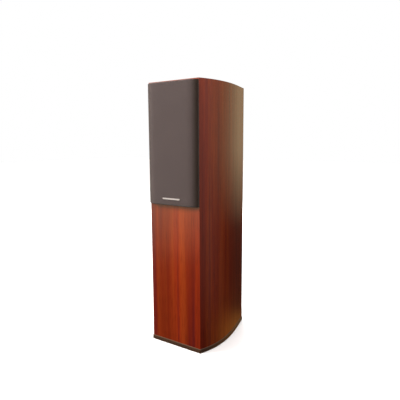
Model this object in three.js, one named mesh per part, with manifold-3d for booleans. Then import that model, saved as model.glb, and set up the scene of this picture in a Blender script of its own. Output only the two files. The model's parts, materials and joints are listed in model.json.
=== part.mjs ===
// A compact floorstanding loudspeaker: a veneered cabinet with bowed sides, a
// lift-off cloth grille, one dome tweeter, two 130 mm cone drivers, a rear port,
// a pair of binding posts and a crossover network.
//
// Millimetres, +Z up, +X to the right seen from the front, +Y towards the back.
// The origin is at the middle of the footprint, on the floor.

import * as THREE from 'three';
import * as BufferGeometryUtils from 'three/addons/utils/BufferGeometryUtils.js';
import Module from 'manifold-3d';

const wasm = await Module();
wasm.setup();

// ---------------------------------------------------------------- dimensions

const HEIGHT = 845;            // floor to the top of the cabinet
const DEPTH = 295;             // cabinet, front baffle to rear panel
const FRONT_HALF = 95;         // half width at the front edge
const BACK_HALF = 83;          // half width at the rear edge
const BOW = [[140.3, 104.3], [100, 216.7]];   // control points of the bowed side

const PLINTH_HEIGHT = 14;
const PLINTH_OVERHANG = 2;     // past the front and the sides
const BAFFLE = 22;             // thickness of the front baffle
const WALL = 18;               // thickness of the other panels
const BRACE = 12;
const BRACE_Z = { lower: 410, upper: 604 };
const BRACE_WINDOW = { half_width: 58, front: -70, back: 92 };
const GLUE = 0.3;              // glue line between pieces on a curved joint

const GRILLE_PROUD = 16;       // how far the grille stands in front of the baffle
const GRILLE_BOTTOM = 467;
const GRILLE_TOP = 841;
const GRILLE_ROUND = 35;       // width of the rounding along each upright edge
const GRILLE_LAND = 1.5;       // height of the square edge left by that rounding
const CLOTH = 1.2;
const WINDOW_HALF = 61;        // half width of the opening in the grille frame
const RAIL = 10;               // top and bottom rails of the grille frame
const PEG = { radius: 4, length: 10, x: 79, inset: 20 };
const SOCKET = { radius: 6.5, bore: 4.3, depth: 12 };
const BADGE = { width: 66, height: 4.5, depth: 1.2, z: 487 };

const TWEETER_Z = 787;
const TWEETER = { plate: 45, hole: 36 };       // radii of the faceplate and its hole
const WOOFER_Z = { upper: 672, lower: 536 };
const WOOFER = { flange: 66, hole: 57 };       // radii of the chassis flange and its hole
const REBATE = 4;                              // depth that both are let into the baffle
const PORT_Z = 300;
const PORT = { bore: 25, wall: 2.5, length: 130, flare: 13, flange: 42, hole: 35, lip: 3 };
const CUP_Z = 130;
const CUP = {
  half_width: 48, half_height: 38, corner: 6, lip: 3,
  well_width: 36, well_height: 26, well_corner: 4, wall: 2, depth: 24,
};
const POST = { x: 16, bore: 3.3, cap_start: 3.5, cap_length: 13 };

const WADDING = { half_width: 62, half_height: 96, corner: 20, thickness: 36, gap: 2, z: 716 };
const CROSSOVER = { clearance: 10, thickness: 1.6, half_width: 55, front: -62, back: 68 };
const CABLE_RADIUS = 2.2;

const PROUD = GRILLE_PROUD + BADGE.depth;      // all that stands before the baffle
const FRONT = (PROUD - DEPTH) / 2;             // the baffle's front face
const BACK = FRONT + DEPTH;                    // the rear panel's back face

const BIG_ROUND = 20;          // facets round a driver
const MID_ROUND = 14;
const SMALL_ROUND = 12;

// ----------------------------------------------------------------- materials

const material = (color, roughness, metalness = 0) =>
  new THREE.MeshStandardMaterial({ color, roughness, metalness });

const veneer = material('#9a4420', 0.32);
const plinth_black = material('#3a2b24', 0.45);
const board = material('#8a6a48', 0.9);
const grille_cloth = material('#5e514f', 0.95);
const grille_plastic = material('#1d1b1a', 0.7);
const silver = material('#c9c7c4', 0.3, 1);
const chassis_grey = material('#3b3c3e', 0.5, 0.6);
const steel = material('#a9abad', 0.35, 1);
const ferrite = material('#2b2b2d', 0.8);
const cone_paper = material('#8f8b82', 0.75);
const rubber = material('#151515', 0.7);
const dome_silk = material('#25211f', 0.6);
const spider_cloth = material('#a5752c', 0.9);
const former_foil = material('#b58a4a', 0.4, 0.6);
const black_plastic = material('#18181a', 0.5);
const red_plastic = material('#8c1c18', 0.45);
const brass = material('#c59a45', 0.3, 1);
const copper = material('#b4602e', 0.35, 1);
const circuit_board = material('#2f5a34', 0.6);
const film_yellow = material('#b98b2c', 0.5);
const ceramic = material('#e4e0d6', 0.8);
const wadding = material('#d9d6cf', 1);
const cable_jacket = material('#2a2a2a', 0.6);

// ------------------------------------------------------------ solids in code

const group = new THREE.Group();

function add(name, geometry, surface) {
  const mesh = new THREE.Mesh(geometry, surface);
  mesh.name = name;
  group.add(mesh);
  return mesh;
}

// A closed geometry as a manifold solid, with its shared vertices merged.
function solid(geometry) {
  const bare = geometry.clone();
  bare.deleteAttribute('normal');
  bare.deleteAttribute('uv');
  const merged = BufferGeometryUtils.mergeVertices(bare, 1e-4);
  const index = merged.index.array;
  const kept = [];
  for (let i = 0; i < index.length; i += 3) {
    const [a, b, c] = index.slice(i, i + 3);
    if (a !== b && b !== c && c !== a) kept.push(a, b, c);
  }
  return new wasm.Manifold(new wasm.Mesh({
    numProp: 3,
    vertProperties: new Float32Array(merged.attributes.position.array),
    triVerts: new Uint32Array(kept),
  }));
}

function geometry(body) {
  const mesh = body.getMesh();
  const made = new THREE.BufferGeometry();
  made.setAttribute('position', new THREE.BufferAttribute(mesh.vertProperties, 3));
  made.setIndex(new THREE.BufferAttribute(mesh.triVerts, 1));
  return made;
}

// The first geometry with all the others cut out of it.
function cut(base, ...tools) {
  let body = solid(base);
  for (const tool of tools) body = body.subtract(solid(tool));
  return geometry(body);
}

function join(base, ...others) {
  let body = solid(base);
  for (const other of others) body = body.add(solid(other));
  return geometry(body);
}

// A solid turned about the front-to-back line through (x, z). The profile is a
// list of [radius, y], closed on itself or ending on the axis at both ends.
function turned(profile, facets, x = 0, z = 0) {
  const points = profile.map(([r, y]) => new THREE.Vector2(r, y));
  if (THREE.ShapeUtils.area(points) < 0) points.reverse();
  if (points[0].x > 0 || points.at(-1).x > 0) points.push(points[0].clone());
  return new THREE.LatheGeometry(points, facets).translate(x, 0, z);
}

// A plain disc or rod, and a ring, from y0 to y1.
const rod = (radius, y0, y1, facets, x, z) =>
  turned([[0, y0], [radius, y0], [radius, y1], [0, y1]], facets, x, z);

const ring = (outer, inner, y0, y1, facets, x, z) =>
  turned([[inner, y0], [outer, y0], [outer, y1], [inner, y1]], facets, x, z);

// A box between two corners.
function block([x0, y0, z0], [x1, y1, z1]) {
  const box = new THREE.BoxGeometry(x1 - x0, y1 - y0, z1 - z0);
  return box.translate((x0 + x1) / 2, (y0 + y1) / 2, (z0 + z1) / 2);
}

// A slab with the plan [x, y] points, from z0 up to z1.
function slab(plan, z0, z1) {
  const shape = new THREE.Shape(plan.map(([x, y]) => new THREE.Vector2(x, y)));
  const made = new THREE.ExtrudeGeometry(shape, { depth: z1 - z0, bevelEnabled: false });
  return made.translate(0, 0, z0);
}

// A rounded rectangle in the X-Z plane, from y0 back to y1.
function plate(half_width, half_height, corner, y0, y1, x, z) {
  const shape = new THREE.Shape();
  const [w, h, r] = [half_width, half_height, corner];
  shape.moveTo(-w + r, -h);
  shape.lineTo(w - r, -h);
  shape.absarc(w - r, -h + r, r, -Math.PI / 2, 0);
  shape.lineTo(w, h - r);
  shape.absarc(w - r, h - r, r, 0, Math.PI / 2);
  shape.lineTo(-w + r, h);
  shape.absarc(-w + r, h - r, r, Math.PI / 2, Math.PI);
  shape.lineTo(-w, -h + r);
  shape.absarc(-w + r, -h + r, r, Math.PI, Math.PI * 1.5);
  const made = new THREE.ExtrudeGeometry(shape, {
    depth: y1 - y0, bevelEnabled: false, curveSegments: 2,
  });
  return made.rotateX(Math.PI / 2).translate(x, y1, z);
}

// ------------------------------------------------------------- cabinet plan

// Half the cabinet's width at a distance behind the front face: a cubic curve
// that leaves the front corner outwards and draws in towards the back.
const side = new THREE.CubicBezierCurve(
  new THREE.Vector2(FRONT_HALF, 0),
  new THREE.Vector2(...BOW[0]),
  new THREE.Vector2(...BOW[1]),
  new THREE.Vector2(BACK_HALF, DEPTH),
);

function half_width(behind) {
  let [low, high] = [0, 1];
  for (let step = 0; step < 40; step++) {
    const middle = (low + high) / 2;
    if (side.getPoint(middle).y < behind) low = middle;
    else high = middle;
  }
  return side.getPoint((low + high) / 2).x;
}

// The same, measured to the inner face of a side panel that is WALL thick.
function inner_half(behind) {
  const slope = (half_width(behind + 1) - half_width(behind - 1)) / 2;
  return half_width(behind) - WALL * Math.hypot(1, slope);
}

// Points along one side, front to back, between two depths.
function side_points(half, from, to, steps) {
  const points = [];
  for (let i = 0; i <= steps; i++) {
    const behind = from + (to - from) * i / steps;
    points.push([half(behind), FRONT + behind]);
  }
  return points;
}

const mirrored = (points) => points.map(([x, y]) => [-x, y]).reverse();

// A full-width plan between two depths, its sides offset by a margin.
function plan(half, from, to, steps, margin = 0) {
  const right = side_points((behind) => half(behind) + margin, from, to, steps);
  return [...right, ...mirrored(right)];
}

// ------------------------------------------------------------------ cabinet

const BOTTOM = PLINTH_HEIGHT;
const INSIDE = [BAFFLE + GLUE, DEPTH - WALL - GLUE];

function cabinet() {
  const foot = plan(half_width, 0, DEPTH, 20, PLINTH_OVERHANG);
  foot[0][1] -= PLINTH_OVERHANG;
  foot.at(-1)[1] -= PLINTH_OVERHANG;
  add('plinth', slab(foot, 0, PLINTH_HEIGHT), plinth_black);

  const inset = plan(inner_half, ...INSIDE, 14, -GLUE);
  add('bottom_panel', slab(inset, BOTTOM, BOTTOM + WALL), board);
  add('top_panel', slab(inset, HEIGHT - WALL, HEIGHT), veneer);

  const outer = side_points(half_width, ...INSIDE, 20);
  const inner = side_points(inner_half, ...INSIDE, 20);
  const wall = [...outer, ...inner.reverse()];
  add('side_panel_right', slab(wall, BOTTOM, HEIGHT), veneer);
  add('side_panel_left', slab(mirrored(wall), BOTTOM, HEIGHT), veneer);

  const { half_width: half, front, back } = BRACE_WINDOW;
  for (const [where, z] of Object.entries(BRACE_Z)) {
    const shelf = slab(inset, z - BRACE / 2, z + BRACE / 2);
    const window = block([-half, front, z - BRACE], [half, back, z + BRACE]);
    add(`brace_${where}`, cut(shelf, window), board);
  }
}

function front_baffle() {
  const face = slab(plan(half_width, 0, BAFFLE, 3), BOTTOM, HEIGHT);
  const tools = [];
  const hole = (radius, depth, x, z, facets) =>
    tools.push(rod(radius, FRONT - 1, FRONT + depth, facets, x, z));
  for (const z of Object.values(WOOFER_Z)) {
    hole(WOOFER.flange + GLUE, REBATE, 0, z, BIG_ROUND);
    hole(WOOFER.hole, BAFFLE + 1, 0, z, BIG_ROUND);
  }
  hole(TWEETER.plate + GLUE, REBATE, 0, TWEETER_Z, BIG_ROUND);
  hole(TWEETER.hole, BAFFLE + 1, 0, TWEETER_Z, BIG_ROUND);
  for (const [x, z] of peg_places()) {
    hole(SOCKET.radius + GLUE, SOCKET.depth + GLUE, x, z, SMALL_ROUND);
  }
  add('front_baffle', cut(face, ...tools), veneer);
}

function rear_panel() {
  const face = slab(plan(half_width, DEPTH - WALL, DEPTH, 2), BOTTOM, HEIGHT);
  add('rear_panel', cut(
    face,
    rod(PORT.flange + GLUE, BACK - PORT.lip, BACK + 1, BIG_ROUND, 0, PORT_Z),
    rod(PORT.hole, BACK - WALL - 1, BACK + 1, BIG_ROUND, 0, PORT_Z),
    plate(CUP.half_width + GLUE, CUP.half_height + GLUE, CUP.corner,
      BACK - CUP.lip, BACK + 1, 0, CUP_Z),
    plate(CUP.well_width + CUP.wall + GLUE, CUP.well_height + CUP.wall + GLUE, CUP.well_corner + 1,
      BACK - WALL - 1, BACK + 1, 0, CUP_Z),
  ), veneer);
}

// Long-fibre wadding that hangs behind the drivers.
function damping() {
  const { half_width: half, half_height: tall, corner, thickness, gap, z } = WADDING;
  const behind_it = BACK - WALL - gap;
  const pad = plate(half, tall, corner, behind_it - thickness, behind_it, 0, z);
  add('damping_wadding', pad, wadding);
}

// The reflex port: a straight tube with a flared mouth, let into the rear panel.
function port() {
  const flare = [];
  for (let step = 0; step <= 4; step++) {
    const angle = step / 4 * Math.PI / 2;
    flare.push([
      PORT.bore + PORT.flare * (1 - Math.cos(angle)),
      BACK - PORT.flare + PORT.flare * Math.sin(angle),
    ]);
  }
  const outside = PORT.bore + PORT.wall;
  add('port_tube', turned([
    [PORT.bore, BACK - PORT.length],
    ...flare,
    [PORT.flange, BACK],
    [PORT.flange, BACK - PORT.lip],
    [PORT.hole - 1, BACK - PORT.lip],
    [outside, BACK - PORT.flare - 2],
    [outside, BACK - PORT.length],
  ], BIG_ROUND, 0, PORT_Z), black_plastic);
}

// ----------------------------------------------------------------- drivers

// Each driver is built from its front face, at y = FRONT, back into the cabinet.
// Its parts are listed with depths behind that face.
const behind = (profile) => profile.map(([r, depth]) => [r, FRONT + depth]);

function arc(centre, radius, from, to, steps) {
  const points = [];
  for (let i = 0; i <= steps; i++) {
    const angle = (from + (to - from) * i / steps) * Math.PI / 180;
    points.push([
      centre[0] + radius * Math.cos(angle),
      centre[1] - radius * Math.sin(angle),
    ]);
  }
  return points;
}

// Depth of the cone's front face at a radius: it steepens towards the neck.
const RIM = 46.5;
const NECK = 13.6;
const CONE_FRONT = 2;
const CONE_DEPTH = 21;
const cone_depth = (r) => CONE_FRONT + CONE_DEPTH * ((RIM - r) / (RIM - NECK)) ** 1.15;

function woofer(where, z) {
  const name = (part) => `woofer_${where}_${part}`;
  const part = (label, profile, facets, surface) =>
    add(name(label), turned(behind(profile), facets, 0, z), surface);

  // A stamped chassis: flange, can, six-windowed taper and the spider's ledge.
  const chassis = turned(behind([
    [60, 0], [66, 0], [66, 4], [56.5, 4], [56.5, 14], [42.5, 33.5], [42.5, 50],
    [16, 50], [16, 46.5], [36, 46.5], [36, 36], [40.3, 36], [40.3, 33.5],
    [54.3, 14], [54.3, 2], [60, 2],
  ]), BIG_ROUND, 0, z);
  const windows = [];
  for (let i = 0; i < 6; i++) {
    const gap = new THREE.BoxGeometry(30, 15, 28);
    gap.translate(0, FRONT + 23.5, 52).rotateY(i * Math.PI / 3).translate(0, 0, z);
    windows.push(gap);
  }
  add(name('chassis'), cut(chassis, ...windows), chassis_grey);

  const plain = (label, outer, inner, y0, y1, surface) =>
    add(name(label), ring(outer, inner, FRONT + y0, FRONT + y1, MID_ROUND, 0, z), surface);
  plain('top_plate', 35, 13.9, 50, 55, steel);
  plain('magnet', 40, 20, 55, 70, ferrite);
  part('yoke', [[0, 48], [12, 48], [12, 70], [35, 70], [35, 76], [0, 76]], MID_ROUND, steel);
  plain('voice_coil', 13.3, 12.7, 24, 59, former_foil);

  const cone = [RIM, 36, 25, NECK];
  const front_face = cone.map((r) => [r, cone_depth(r)]);
  const back_face = cone.map((r) => [r, cone_depth(r) + 1.3]).reverse();
  part('cone', [...front_face, ...back_face], BIG_ROUND, cone_paper);

  const CAP = { rim: 17.5, sphere: 24, wall: 0.8 };
  const base = cone_depth(CAP.rim) - 0.3;
  const lean = Math.acos(CAP.rim / CAP.sphere) * 180 / Math.PI;
  const centre = [0, base + CAP.sphere * Math.sin(lean * Math.PI / 180)];
  const inner_lean = Math.asin(
    (CAP.sphere * Math.sin(lean * Math.PI / 180)) / (CAP.sphere - CAP.wall)) * 180 / Math.PI;
  part('dust_cap', [
    ...arc(centre, CAP.sphere, lean, 90, 3).slice(0, -1),
    [0, centre[1] - CAP.sphere],
    [0, centre[1] - CAP.sphere + CAP.wall],
    ...arc(centre, CAP.sphere - CAP.wall, 90, inner_lean, 3).slice(1),
  ], MID_ROUND, rubber);

  // A half-roll surround between the flange's ledge and the cone's rim.
  const roll = { centre: [50.3, 2], outer: 4.9, inner: 3.9 };
  const lip = Math.asin(1.1 / roll.outer) * 180 / Math.PI;
  part('surround', [
    [59.7, 0.9], [59.7, 2], ...arc(roll.centre, roll.inner, 0, 180, 4), [44, 2], [44, 0.9],
    ...arc(roll.centre, roll.outer, 180 - lip, lip, 4),
  ], BIG_ROUND, rubber);

  // The corrugated spider centres the voice coil from behind the cone.
  const wave = [];
  for (let i = 0; i <= 6; i++) wave.push([16 + i * 3.2, 35 + (i % 2 ? 1.4 : -1)]);
  const sheet = (offset) => [
    [13.6, 35.2 + offset], ...wave.map(([r, y]) => [r, y + offset]), [40, 35.2 + offset],
  ];
  part('spider', [...sheet(0), ...sheet(0.8).reverse()], BIG_ROUND, spider_cloth);
}

function tweeter() {
  const z = TWEETER_Z;
  const part = (label, profile, facets, surface) =>
    add(`tweeter_${label}`, turned(behind(profile), facets, 0, z), surface);
  part('faceplate', [
    [35, 0], [45, 0], [45, 4], [33, 4], [33, 7], [18.5, 7], [18.5, 4.5], [26, 1.6],
  ], BIG_ROUND, black_plastic);
  part('top_plate', [[13.6, 7], [30, 7], [30, 10], [13.6, 10]], MID_ROUND, steel);
  part('magnet', [[17, 10], [33, 10], [33, 20], [17, 20]], MID_ROUND, ferrite);
  part('yoke', [[0, 8], [12, 8], [12, 20], [30, 20], [30, 24], [0, 24]], MID_ROUND, steel);
  part('rear_chamber', [[0, 24], [25, 24], [25, 38], [0, 38]], MID_ROUND, black_plastic);

  // A silk dome on its coil former, and the flat roll that carries it.
  const dome = { rim: 13, rise: 5, wall: 0.4 };
  const sphere = (dome.rim ** 2 + dome.rise ** 2) / (2 * dome.rise);
  const lean = Math.asin((sphere - dome.rise) / sphere) * 180 / Math.PI;
  const centre = [0, 5.6 + sphere - dome.rise];
  const skin = arc(centre, sphere, lean, 90, 4).slice(0, -1);
  const lining = arc(centre, sphere - dome.wall, 90, lean + 0.6, 4).slice(1);
  part('dome', [
    ...skin, [0, centre[1] - sphere], [0, centre[1] - sphere + dome.wall],
    ...lining, [12.6, 5.9], [12.6, 12], [13, 12], [13, 6.1],
  ], MID_ROUND, dome_silk);
  part('surround', [
    [18.2, 6.2], [18.2, 6.8], [16.6, 6.8], [15.6, 6], [14.6, 6.8], [13.2, 6.8],
    [13.2, 6.2], [14.4, 6.2], [15.6, 5.3], [16.8, 6.2],
  ], MID_ROUND, dome_silk);
}

// ------------------------------------------------------------------- grille

function peg_places() {
  const places = [];
  for (const z of [GRILLE_BOTTOM + PEG.inset, GRILLE_TOP - PEG.inset]) {
    for (const x of [-PEG.x, PEG.x]) places.push([x, z]);
  }
  return places;
}

// The grille's cross-section seen from above: flat in front, with an elliptical
// rounding down to each upright edge, all of it drawn in by a margin.
function grille_plan(margin) {
  const right = [[FRONT_HALF - margin, FRONT]];
  const steps = 8;
  for (let i = 0; i <= steps; i++) {
    const angle = i / steps * Math.PI / 2;
    right.push([
      FRONT_HALF - GRILLE_ROUND + (GRILLE_ROUND - margin) * Math.cos(angle),
      FRONT - GRILLE_LAND - (GRILLE_PROUD - GRILLE_LAND - margin) * Math.sin(angle),
    ]);
  }
  return [...right, ...mirrored(right)];
}

function grille() {
  const skin = slab(grille_plan(0), GRILLE_BOTTOM, GRILLE_TOP);
  const hollow = slab(
    [...grille_plan(CLOTH), [-FRONT_HALF + CLOTH, FRONT + 1], [FRONT_HALF - CLOTH, FRONT + 1]],
    GRILLE_BOTTOM + CLOTH, GRILLE_TOP - CLOTH,
  );
  add('grille_cloth', cut(skin, hollow), grille_cloth);

  const margin = CLOTH + GLUE;
  const bottom = GRILLE_BOTTOM + margin;
  const top = GRILLE_TOP - margin;
  const frame = cut(
    slab(grille_plan(margin), bottom, top),
    block([-WINDOW_HALF, FRONT - GRILLE_PROUD, bottom + RAIL],
      [WINDOW_HALF, FRONT + 1, top - RAIL]),
  );
  const pegs = peg_places().map(([x, z]) =>
    rod(PEG.radius, FRONT - 2, FRONT + PEG.length, SMALL_ROUND, x, z));
  add('grille_frame', join(frame, ...pegs), grille_plastic);

  const face = FRONT - GRILLE_PROUD;
  add('grille_badge', plate(BADGE.width / 2, BADGE.height / 2, 2,
    face - BADGE.depth, face, 0, BADGE.z), silver);

  peg_places().forEach(([x, z], i) => {
    add(`grille_socket_${i + 1}`,
      ring(SOCKET.radius, SOCKET.bore, FRONT, FRONT + SOCKET.depth, SMALL_ROUND, x, z), rubber);
  });
}

// ---------------------------------------------------------------- terminals

// A round plan whose radius swings between two values as many times as it has flutes.
function fluted(flutes, outer, inner) {
  const points = [];
  for (let i = 0; i < flutes * 2; i++) {
    const angle = i / flutes * Math.PI;
    const r = i % 2 ? outer : inner;
    points.push([r * Math.cos(angle), r * Math.sin(angle)]);
  }
  return points;
}

function terminals() {
  const floor = BACK - CUP.depth;
  const outside = join(
    plate(CUP.half_width, CUP.half_height, CUP.corner, BACK - CUP.lip, BACK, 0, CUP_Z),
    plate(CUP.well_width + CUP.wall, CUP.well_height + CUP.wall, CUP.well_corner + 1,
      floor - CUP.wall, BACK - 1, 0, CUP_Z),
  );
  add('terminal_cup', cut(
    outside,
    plate(CUP.well_width, CUP.well_height, CUP.well_corner, floor, BACK + 1, 0, CUP_Z),
    ...[-POST.x, POST.x].map((x) => rod(POST.bore, floor - 3, floor + 1, SMALL_ROUND, x, CUP_Z)),
  ), black_plastic);

  for (const [pole, x] of [['positive', -POST.x], ['negative', POST.x]]) {
    add(`post_stem_${pole}`, turned([
      [0, floor - 14], [3, floor - 14], [3, floor], [6, floor], [6, floor + 2],
      [3, floor + 2], [3, floor + 15], [0, floor + 15],
    ], SMALL_ROUND, x, CUP_Z), brass);
    add(`post_washer_${pole}`,
      ring(6, POST.bore, floor + 2, floor + 3.2, SMALL_ROUND, x, CUP_Z), brass);

    // The screw cap: flutes round a bore that clears the stem.
    const knob = slab(fluted(12, 7, 6.4), 0, POST.cap_length);
    knob.rotateX(Math.PI / 2).translate(x, floor + POST.cap_start + POST.cap_length, CUP_Z);
    const bore = rod(POST.bore, floor, floor + CUP.depth + 1, SMALL_ROUND, x, CUP_Z);
    add(`post_cap_${pole}`, cut(knob, bore), pole === 'positive' ? red_plastic : black_plastic);
  }
}

// ---------------------------------------------------------------- crossover

const BOARD_Z = BOTTOM + WALL + CROSSOVER.clearance;      // underside of the crossover board
const BOARD_TOP = BOARD_Z + CROSSOVER.thickness;

function crossover() {
  const { half_width: half, front, back } = CROSSOVER;
  const sheet = block([-half, front, BOARD_Z], [half, back, BOARD_TOP]);
  const inset = 7;
  const foot = 4;
  const feet = [];
  for (const x of [inset - half, half - inset]) {
    for (const y of [front + inset, back - inset]) {
      feet.push(block([x - foot, y - foot, BOTTOM + WALL], [x + foot, y + foot, BOARD_Z + 0.5]));
    }
  }
  add('crossover_board', join(sheet, ...feet), circuit_board);

  // Air-cored coils stand on their sides on the board.
  const coil = (name, outer, inner, width, x, y) => {
    const made = ring(outer, inner, y - width / 2, y + width / 2, MID_ROUND, x, 0);
    add(name, made.translate(0, 0, BOARD_TOP + outer), copper);
  };
  coil('crossover_coil_large', 23, 11, 22, -28, -36);
  coil('crossover_coil_small', 16, 8, 14, 28, -40);

  const capacitor = (name, radius, length, x, y) =>
    add(name, rod(radius, y - length / 2, y + length / 2, MID_ROUND, x, BOARD_TOP + radius),
      film_yellow);
  capacitor('crossover_capacitor_large', 12, 36, 30, 8);
  capacitor('crossover_capacitor_small', 8, 26, 34, 50);
  add('crossover_resistor', block([-40, 26, BOARD_TOP], [-30, 60, BOARD_TOP + 10]), ceramic);
}

// Cables run up the middle of the cabinet, through the braces' windows, and
// forward to each driver.
function cables() {
  const top = BOARD_TOP + 0.3;
  const run = (name, x, y, target) => {
    const path = new THREE.CatmullRomCurve3([
      new THREE.Vector3(x, y, top),
      new THREE.Vector3(x, y, top + 60),
      new THREE.Vector3(x, y, (top + target.z) / 2),
      new THREE.Vector3(x, y, target.z - 70),
      new THREE.Vector3(x * 0.9, y - 14, target.z - 22),
      new THREE.Vector3(target.x, (y + target.y) / 2, target.z),
      target,
    ]);
    const shape = new THREE.Shape().absarc(0, 0, CABLE_RADIUS, 0, Math.PI * 2);
    const made = new THREE.ExtrudeGeometry(shape, {
      extrudePath: path, steps: 18, curveSegments: 3,
    });
    add(name, made, cable_jacket);
  };
  const chamber = new THREE.Vector3(-8, FRONT + 39, TWEETER_Z);
  run('tweeter_cable', -12, -16, chamber);
  run('woofer_cable_upper', -2, -8, new THREE.Vector3(-6, FRONT + 77, WOOFER_Z.upper));
  run('woofer_cable_lower', 8, 2, new THREE.Vector3(6, FRONT + 77, WOOFER_Z.lower));
}

cabinet();
front_baffle();
rear_panel();
damping();
port();
tweeter();
woofer('upper', WOOFER_Z.upper);
woofer('lower', WOOFER_Z.lower);
grille();
terminals();
crossover();
cables();

export default group;
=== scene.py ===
# %% [markdown]
# # A floorstanding loudspeaker
#
# The speaker is a tall veneered box whose sides bow outwards like a barrel. A cloth grille hides
# two cone drivers and a dome tweeter, and a port and two binding posts sit in the back.
#
# The packed model already says where everything is. This lesson makes each visible piece again
# as a fine surface, on the very same places, and gives it a finish. Each new surface is worked out
# with numpy: an outline lifted up, or a profile turned about a line.

# %% Load the frame
import json
import math

import bmesh
import bpy
import numpy as np
from mathutils import Matrix, Vector

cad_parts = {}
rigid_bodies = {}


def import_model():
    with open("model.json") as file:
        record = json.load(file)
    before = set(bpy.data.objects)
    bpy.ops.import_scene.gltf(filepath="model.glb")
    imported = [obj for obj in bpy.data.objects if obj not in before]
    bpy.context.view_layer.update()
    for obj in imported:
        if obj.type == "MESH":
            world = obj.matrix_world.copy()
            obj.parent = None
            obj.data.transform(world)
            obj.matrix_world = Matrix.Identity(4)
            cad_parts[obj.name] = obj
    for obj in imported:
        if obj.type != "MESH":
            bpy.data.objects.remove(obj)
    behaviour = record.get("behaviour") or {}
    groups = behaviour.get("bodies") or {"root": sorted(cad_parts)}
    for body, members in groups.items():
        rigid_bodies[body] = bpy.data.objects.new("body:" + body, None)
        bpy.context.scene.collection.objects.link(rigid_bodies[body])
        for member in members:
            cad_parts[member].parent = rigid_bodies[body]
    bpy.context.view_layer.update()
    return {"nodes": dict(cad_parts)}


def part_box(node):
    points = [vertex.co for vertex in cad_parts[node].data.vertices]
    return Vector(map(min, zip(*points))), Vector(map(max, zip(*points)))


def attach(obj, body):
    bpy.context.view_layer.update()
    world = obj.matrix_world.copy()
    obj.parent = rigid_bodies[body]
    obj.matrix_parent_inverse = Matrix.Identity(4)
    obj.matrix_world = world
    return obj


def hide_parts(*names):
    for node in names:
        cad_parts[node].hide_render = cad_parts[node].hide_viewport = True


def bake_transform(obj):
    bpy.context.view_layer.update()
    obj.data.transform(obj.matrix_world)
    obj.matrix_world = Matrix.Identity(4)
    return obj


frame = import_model()

# %% [markdown]
# ## Sizes
#
# Everything is placed from the boxes of the packed nodes. `MM` lets small sizes be written in
# millimetres. The bowed side isn't a box, so its curve is written again here, as four control
# points: half the width against the distance behind the front face.

# %% Sizes read from the frame
MM = 0.001


def low(node):
    """The lowest corner of a packed node, as an array."""
    return np.array(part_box(node)[0])


def high(node):
    """The highest corner of a packed node, as an array."""
    return np.array(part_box(node)[1])


def middle(node):
    """The middle of a packed node's box, as an array."""
    return (low(node) + high(node)) / 2


FRONT = low("front_baffle")[1]
BACK = high("rear_panel")[1]
FOOT = low("front_baffle")[2]
TOP = high("front_baffle")[2]
DEPTH = BACK - FRONT
BAFFLE = high("front_baffle")[1] - FRONT   # thickness of the front board
WALL = BACK - low("rear_panel")[1]         # thickness of the other boards
LEAF = 0.6 * MM                            # thickness of the veneer
GRILLE_LOW = low("grille_cloth")
GRILLE_HIGH = high("grille_cloth")
SIDE_CURVE = np.array([[95, 0], [140.3, 104.3], [100, 216.7], [83, 295]]) * MM
print(f"cabinet {TOP - FOOT:.3f} m tall and {DEPTH:.3f} m deep")

# %% [markdown]
# ## Tools for surfaces
#
# Four helpers carry the whole model. `put` makes an object from arrays of points and faces, and
# shades it smoothly except across real corners. `stack` joins a pile of equal closed loops into a
# skin. `turn` spins a profile about a line that runs from front to back. `cut` takes one closed
# shape out of another. They could be done by hand with bpy.ops, but arrays are shorter and exact.


# %% Points and faces into an object
def put(name, points, faces, sharp=32, uv=None):
    """A mesh object from points (n, 3) and faces (lists of corner numbers).

    Doubles are merged and every face is turned outwards, and edges that bend by more than
    `sharp` degrees stay crisp. A UV map, where there is one, has a (u, v) for each point.
    """
    mesh = bpy.data.meshes.new(name)
    mesh.from_pydata(np.asarray(points, float).reshape(-1, 3).tolist(), [], faces)
    if uv is not None:
        corner = np.zeros(len(mesh.loops), np.int32)
        mesh.loops.foreach_get("vertex_index", corner)
        flat = np.asarray(uv, float).reshape(-1, 2)[corner]
        mesh.uv_layers.new(name="UVMap").data.foreach_set("uv", flat.ravel())
    work = bmesh.new()
    work.from_mesh(mesh)
    bmesh.ops.remove_doubles(work, verts=work.verts, dist=1e-6)
    bmesh.ops.recalc_face_normals(work, faces=work.faces)
    work.to_mesh(mesh)
    work.free()
    mesh.polygons.foreach_set("use_smooth", np.ones(len(mesh.polygons), bool))
    mesh.set_sharp_from_angle(angle=math.radians(sharp))
    made = bpy.data.objects.new(name, mesh)
    bpy.context.scene.collection.objects.link(made)
    return made


print("put: points and faces into a smooth object")

# %% [markdown]
# A grid of points is the ground for nearly every surface here. Its cells are numbered with whole
# arrays, and a grid may wrap round in either direction: a tube wraps one way, a ring both ways.


# %% Grids and piles of loops
def grid_faces(rows, columns, wrap_rows=False, wrap_columns=True):
    """The four corner numbers of each cell of a grid whose points are counted row by row."""
    r = np.arange(rows if wrap_rows else rows - 1)
    c = np.arange(columns if wrap_columns else columns - 1)
    r, c = (a.ravel() for a in np.meshgrid(r, c, indexing="ij"))
    r_next, c_next = (r + 1) % rows, (c + 1) % columns
    here, below = r * columns, r_next * columns
    return np.stack([here + c, here + c_next, below + c_next, below + c], 1).tolist()


def stack_arrays(loops, wrap=False):
    """Points and faces of a skin through equal closed loops, shaped (loops, points, 3).

    The two end loops are filled in, unless the pile wraps round on itself.
    """
    loops = np.asarray(loops, float)
    rows, columns = loops.shape[:2]
    faces = grid_faces(rows, columns, wrap_rows=wrap)
    if not wrap:
        faces.append(list(range(columns))[::-1])
        faces.append(list(range((rows - 1) * columns, rows * columns)))
    return loops.reshape(-1, 3), faces


def stack(name, loops, wrap=False):
    """A closed piece made from a pile of loops."""
    return put(name, *stack_arrays(loops, wrap))


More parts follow.
